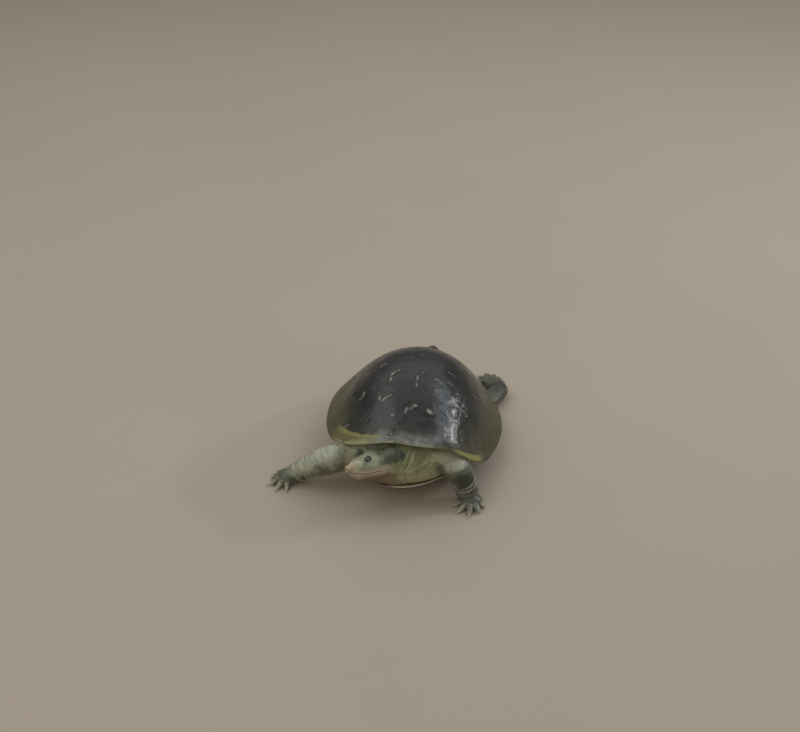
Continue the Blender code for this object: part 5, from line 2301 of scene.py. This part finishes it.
@dataclass(frozen=True)
class SkinFinish:
    """Smooth moist skin: olive above, cream below, with eye patches and pale lips, painted shade on the nape
    under the carapace's rim, on the throat under the head and in the creases, and painted light and shade in
    patches and on the folds.
    """

    # dark olive: painted shade under the carapace's rim and in the dark patches, and the freckles' colour
    neck_shade_and_freckles: Colour = (0.046, 0.052, 0.031)
    neck: Colour = (0.235, 0.250, 0.128)
    # the neck's colour in painted light
    neck_lit: Colour = (0.420, 0.440, 0.250)
    neck_low: Colour = (0.360, 0.350, 0.190)
    leg_shaded: Colour = (0.041, 0.044, 0.034)
    # the leg's colour in painted shade, plain, and in painted light
    leg: Colour = (0.150, 0.152, 0.105)
    leg_lit: Colour = (0.440, 0.455, 0.340)
    cream: Colour = (0.43, 0.36, 0.23)
    crown: Colour = (0.420, 0.440, 0.300)
    crown_dark: Colour = (0.175, 0.195, 0.120)
    patch: Colour = (0.022, 0.024, 0.018)
    cheek: Colour = (0.400, 0.350, 0.230)
    lips: Colour = (0.500, 0.365, 0.240)
    # brown for the throat, painted as the shade under the head
    throat: Colour = (0.190, 0.120, 0.065)
    digit: Colour = (0.470, 0.480, 0.340)
    web: Colour = (0.085, 0.092, 0.066)
    # painted shade for the creases of the neck and legs, the line between the lips and the eye slits
    crease: Colour = (0.026, 0.026, 0.018)

    def head(self, g: "Graph", base: Signal, fine: Signal, mottle: Signal, patches: Signal) -> Signal:
        """Paints the head's markings over the body's colour, with painted shade on the nape under the
        carapace's rim, on the throat under the head and in the line between the lips.

        Args:
            g: The material's graph.
            base: Colour so far.
            fine: Fine noise.
            mottle: Coarser noise.
            patches: The coarsest noise.

        Returns:
            The colour with the head painted.
        """
        place = g.attribute("head_place", "Vector")
        behind, aside, above = (
            g.node("ShaderNodeSeparateXYZ", None, {"Vector": place}, axis) for axis in ("X", "Y", "Z")
        )
        out = abs(aside)
        wave = (mottle - 0.5) * 2.6 + (fine - 0.5) * 1.2
        here = (behind + wave).step(46.0, 37.0) * out.step(24.0, 20.5) * abs(above + 2.0).step(22.0, 18.0)
        blotches = (mottle * 0.6 + patches * 0.3 + fine * 0.2).step(0.50, 0.64)
        head = g.mix(blotches * 0.85, self.crown, self.crown_dark)
        # painted shade: the nape, under the carapace's rim, is painted dark
        nape_rim_shade = behind.step(25.0, 34.0) * (above + wave).step(-2.0, 4.0)
        head = g.mix(nape_rim_shade * 0.8, head, self.neck_shade_and_freckles)
        side = (out + wave * 0.4).step(4.0, 11.0) * (above + wave * 0.3).step(3.0, -3.0)
        head = g.mix(side * 0.7, head, self.cheek)
        # painted shade: the throat under the head is painted brown
        low = (above + wave * 0.5).step(-6.5, -11.0) * behind.step(7.0, 14.0)
        head = g.mix(low * 0.9, head, self.throat)
        snout = (behind + wave * 0.4).step(11.0, 4.0)
        head = g.mix(snout * 0.75, head, self.lips)
        line, lid = g.attributes("lips", "lid")
        head = g.mix(line.step(0.1, 0.8) * (0.55 + mottle * 0.5).least(1.0), head, self.lips)
        # painted shade in the line between the lips
        head = g.mix(line.step(-0.15, -0.7) * 0.9, head, self.crease)
        head = g.mix((lid + wave * 0.10).step(2.0, 1.3) * 0.80, head, self.patch)
        beyond = (aside + wave * 0.15).step(-1.6, -3.2) * aside.step(-11.0, -9.0)
        beyond = beyond * abs(behind - 19.8 + wave * 0.3).step(5.4, 3.6) * above.step(1.5, 3.0)
        head = g.mix(beyond * 0.85, head, self.patch)
        # painted shade in the eye slits, inside the lids' edge
        head = g.mix(lid.step(1.02, 0.94), head, self.crease)
        return g.mix(here, base, head)

    def material(self) -> Material:
        """Builds the material.

        Returns:
            The material.
        """
        g = Graph("Body skin")
        pale, limb, fold, digit, low, foot = g.attributes("pale", "limb", "fold", "digit", "low", "foot")
        patches, mottle, fine = g.noise(0.016, 4), g.noise(0.0045, 5, 0.6), g.noise(0.0012, 4)
        painted_light_and_tone = g.attribute("painted_light_and_tone") + (patches - 0.5) * 0.9 + (mottle - 0.5) * 1.1 + (fine - 0.5) * 0.5
        # painted light and shade: the patches lift the skin to its lit colours and sink it to its shaded ones
        light, deep = painted_light_and_tone.step(0.15, 1.0), (painted_light_and_tone + (fine - 0.5) * 0.6).step(-0.05, -1.05)
        neck = g.mix(low * (0.6 + mottle * 0.5).least(1.0), self.neck, self.neck_low)
        neck = g.mix(deep, g.mix(light, neck, self.neck_lit), self.neck_shade_and_freckles)
        legs = g.mix(deep, g.mix(light, self.leg, self.leg_lit), self.leg_shaded)
        base = g.mix(limb, neck, legs)
        base = g.mix(foot * digit.step(2.3, 3.6), base, self.web)
        base = g.mix(foot * digit.step(2.9, 1.7) * (0.5 + fine * 0.5), base, self.digit)
        base = g.mix(pale * (0.65 + mottle * 0.45).least(1.0), base, self.cream)
        # painted highlights on the raised folds and crescents of the limbs
        ridge_highlights = fold.step(0.16, 0.60) * limb * (mottle * 2.0 - 0.55).most(0.0).least(0.6)
        base = g.mix(ridge_highlights, base, self.leg_lit)
        # painted shade in the creases of the neck and legs
        base = g.mix(fold.step(-0.10, -0.60) * 0.38, base, self.crease)
        base = self.head(g, base, fine, mottle, patches)
        freckle = g.cells(0.0016, "F1").step(0.26, 0.14) * g.noise(0.006, 3).step(0.48, 0.62)
        base = g.mix(freckle * 0.35, base, self.neck_shade_and_freckles)
        rough = 0.42 + (mottle - 0.5) * 0.2 + (fine - 0.5) * 0.16
        folds = g.bump(mottle * 0.6 + patches * 0.4, 0.0006, 0.35)
        grain = g.bump(g.cells(0.00075, "SMOOTH_F1") * 0.6 + fine * 0.6, 0.00012, 0.6, folds)
        others = {"Coat Weight": 0.12, "Coat Roughness": 0.25, "Subsurface Weight": 0.06}
        return g.shade(base, rough, grain, {**others, "Subsurface Scale": 0.002})


@dataclass(frozen=True)
class EyeFinish:
    """Wet eye: a round pupil, a dark golden-flecked iris and a dark surround."""

    pupil: Colour = (0.004, 0.004, 0.004)
    iris: Colour = (0.070, 0.048, 0.018)
    gold: Colour = (0.240, 0.190, 0.070)
    surround: Colour = (0.020, 0.016, 0.012)

    def material(self) -> Material:
        """Builds the material.

        Returns:
            The material.
        """
        g = Graph("Eye")
        tilt, turn = g.attribute("tilt"), g.attribute("turn", "Vector")
        rays = g.node("ShaderNodeTexNoise", None, {"Vector": turn, "Scale": 14.0, "Detail": 4.0})
        base = g.mix(rays.step(0.45, 0.68) * 0.8, self.iris, self.gold)
        base = g.mix(tilt.step(0.62, 0.78), base, self.surround)
        base = g.mix(tilt.step(0.34, 0.28), base, self.pupil)
        bump = g.bump(rays, 0.00002, 0.2)
        return g.shade(base, 0.12 + rays * 0.08, bump, {"Coat Weight": 1.0, "Coat Roughness": 0.02})


@dataclass(frozen=True)
class ClawFinish:
    """Pale horn, pinkish at its root and clearer at its tip."""

    root: Colour = (0.36, 0.27, 0.19)
    horn: Colour = (0.52, 0.46, 0.35)
    tip: Colour = (0.30, 0.24, 0.15)

    def material(self) -> Material:
        """Builds the material.

        Returns:
            The material.
        """
        g = Graph("Claw horn")
        along = g.attribute("along")
        streak = g.noise(0.0009, 4, 0.6)
        base = g.mix((along + (streak - 0.5) * 0.3).step(0.05, 0.40), self.root, self.horn)
        base = g.mix((along + (streak - 0.5) * 0.2).step(0.72, 1.0) * 0.8, base, self.tip)
        bump = g.bump(streak, 0.00005, 0.5)
        return g.shade(base, 0.30 + streak * 0.2, bump, {"Coat Weight": 0.3, "Coat Roughness": 0.15})


@dataclass(frozen=True)
class FloorFinish:
    """Plain pale matt floor."""

    light: Colour = (0.50, 0.430, 0.350)
    shade: Colour = (0.46, 0.392, 0.315)

    def material(self) -> Material:
        """Builds the material.

        Returns:
            The material.
        """
        g = Graph("Floor")
        cloud = g.noise(0.30, 3)
        base = g.mix(cloud, self.light, self.shade)
        bump = g.bump(g.noise(0.002, 2), 0.0001, 0.2)
        return g.shade(base, 0.75 + cloud * 0.1, bump)


# ---- setting ----


def heading(azimuth: float, elevation: float) -> Vector:
    """Way out to an azimuth, from -Y towards +X, and an elevation, in radians."""
    level = math.cos(elevation)
    return Vector((math.sin(azimuth) * level, -math.cos(azimuth) * level, math.sin(elevation)))


@dataclass(frozen=True)
class Softbox:
    """An area light: the way to it as azimuth and elevation, in degrees, its reach, size and power."""

    name: str
    azimuth: float
    elevation: float
    reach: float
    size: tuple[float, float]
    power: float
    colour: Colour = (1.0, 1.0, 1.0)

    def hang(self, target: Vector) -> None:
        """Hangs the light, turned to a place.

        Args:
            target: The place that it lights.
        """
        data = bpy.data.lights.new(self.name, "AREA")
        data.shape = "RECTANGLE"
        data.size, data.size_y = self.size
        data.energy = self.power
        data.color = self.colour
        way = heading(math.radians(self.azimuth), math.radians(self.elevation))
        lamp = bpy.data.objects.new(self.name, data)
        lamp.location = target + way * self.reach
        lamp.rotation_euler = way.to_track_quat("Z", "Y").to_euler()
        bpy.context.scene.collection.objects.link(lamp)


@dataclass
class Setting:
    """The floor, the lights and the camera."""

    target: Points
    floor_half: float = 8.0
    floor_drop: float = 0.02
    floor_flare: float = 1.01
    distance: float = 1.17
    azimuth: float = math.radians(10)
    elevation: float = math.radians(37.6)
    camera_tilt: float = math.radians(90 - 33.98)
    camera_turn: float = math.radians(10.968)
    lens: float = 54.0
    sensor: float = 36.0
    near_clip: float = 0.01
    ambient: float = 0.18
    ambient_colour: Colour = (1.0, 0.98, 0.94)
    lights: tuple[Softbox, ...] = (
        Softbox("sky", -160, 62, 1.6, (2.6, 2.2), 10, (1.0, 0.99, 0.96)),
        Softbox("side", -70, 50, 1.6, (1.4, 1.2), 5.0, (1.0, 0.985, 0.955)),
        Softbox("front", 8, 40, 1.6, (1.8, 1.0), 3.6, (1.0, 0.98, 0.94)),
        Softbox("pane", 123, 48, 1.7, (0.9, 0.6), 4.2, (0.82, 0.91, 1.0)),
        Softbox("glint", 116.5, 27, 1.8, (0.22, 0.06), 4.4),
    )

    def floor(self) -> None:
        """Lays the floor, its edge rolled a little down."""
        half, flare = self.floor_half, self.floor_flare
        ring = [(-half, -half), (half, -half), (half, half), (-half, half)]
        vertices = [(x, y, 0.0) for x, y in ring]
        vertices += [(x * flare, y * flare, -self.floor_drop) for x, y in ring]
        faces = [(0, 1, 2, 3)] + [(i, i + 4, (i + 1) % 4 + 4, (i + 1) % 4) for i in range(4)]
        mesh = bpy.data.meshes.new("floor")
        mesh.from_pydata(vertices, [], faces)
        mesh.materials.append(FloorFinish().material())
        new_object("floor", mesh)

    def light(self) -> None:
        """Hangs the soft lights and sets the room's own light."""
        for box in self.lights:
            box.hang(Vector(self.target))
        world = bpy.data.worlds.new("Room")
        world.use_nodes = True
        back = next(node for node in world.node_tree.nodes if node.type == "BACKGROUND")
        back.inputs["Color"].default_value = (*self.ambient_colour, 1.0)
        back.inputs["Strength"].default_value = self.ambient
        bpy.context.scene.world = world

    def camera(self) -> None:
        """Places the camera."""
        data = bpy.data.cameras.new("Camera")
        data.lens = self.lens
        data.sensor_width = self.sensor
        data.clip_start = self.near_clip
        camera = bpy.data.objects.new("Camera", data)
        camera.location = Vector(self.target) + heading(self.azimuth, self.elevation) * self.distance
        camera.rotation_euler = (self.camera_tilt, 0.0, self.camera_turn)
        bpy.context.scene.collection.objects.link(camera)
        bpy.context.scene.camera = camera
        bpy.context.scene.view_settings.view_transform = "Standard"


def main() -> None:
    """Builds the turtle piece by piece, and its setting."""
    logging.basicConfig(level=logging.INFO, format="%(name)s %(message)s")
    shape, head = ShellShape(), HeadShape()
    low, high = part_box("eye_left")
    offset = (np.array(low) + np.array(high)) / 2 - head.frame.world(head.eye.centre(1.0))
    LOG.info("offset %s", np.round(offset, 5))
    soft, wet, horn = FlapFinish().material(), EyeFinish().material(), ClawFinish().material()
    pieces = [
        (Carapace(shape, offset), CarapaceFinish().material()),
        (Plastron(shape, offset), BellyFinish().material()),
    ]
    for word, side in zip(("left", "right"), SIDES):
        pieces += [(RearFlap(shape, offset, word, side), soft), (Eyeball(head, offset, word, side), wet)]
    pieces.append((Skin(shape, head, offset), SkinFinish().material()))
    tree = claw_tree()
    pieces += [(ClawSet(limb, offset, tree, horn), horn) for limb in Limb]
    for piece, material in pieces:
        piece.dress(piece.build(), material)
    setting = Setting(offset)
    setting.floor()
    setting.light()
    setting.camera()


if __name__ == "__main__":
    main()
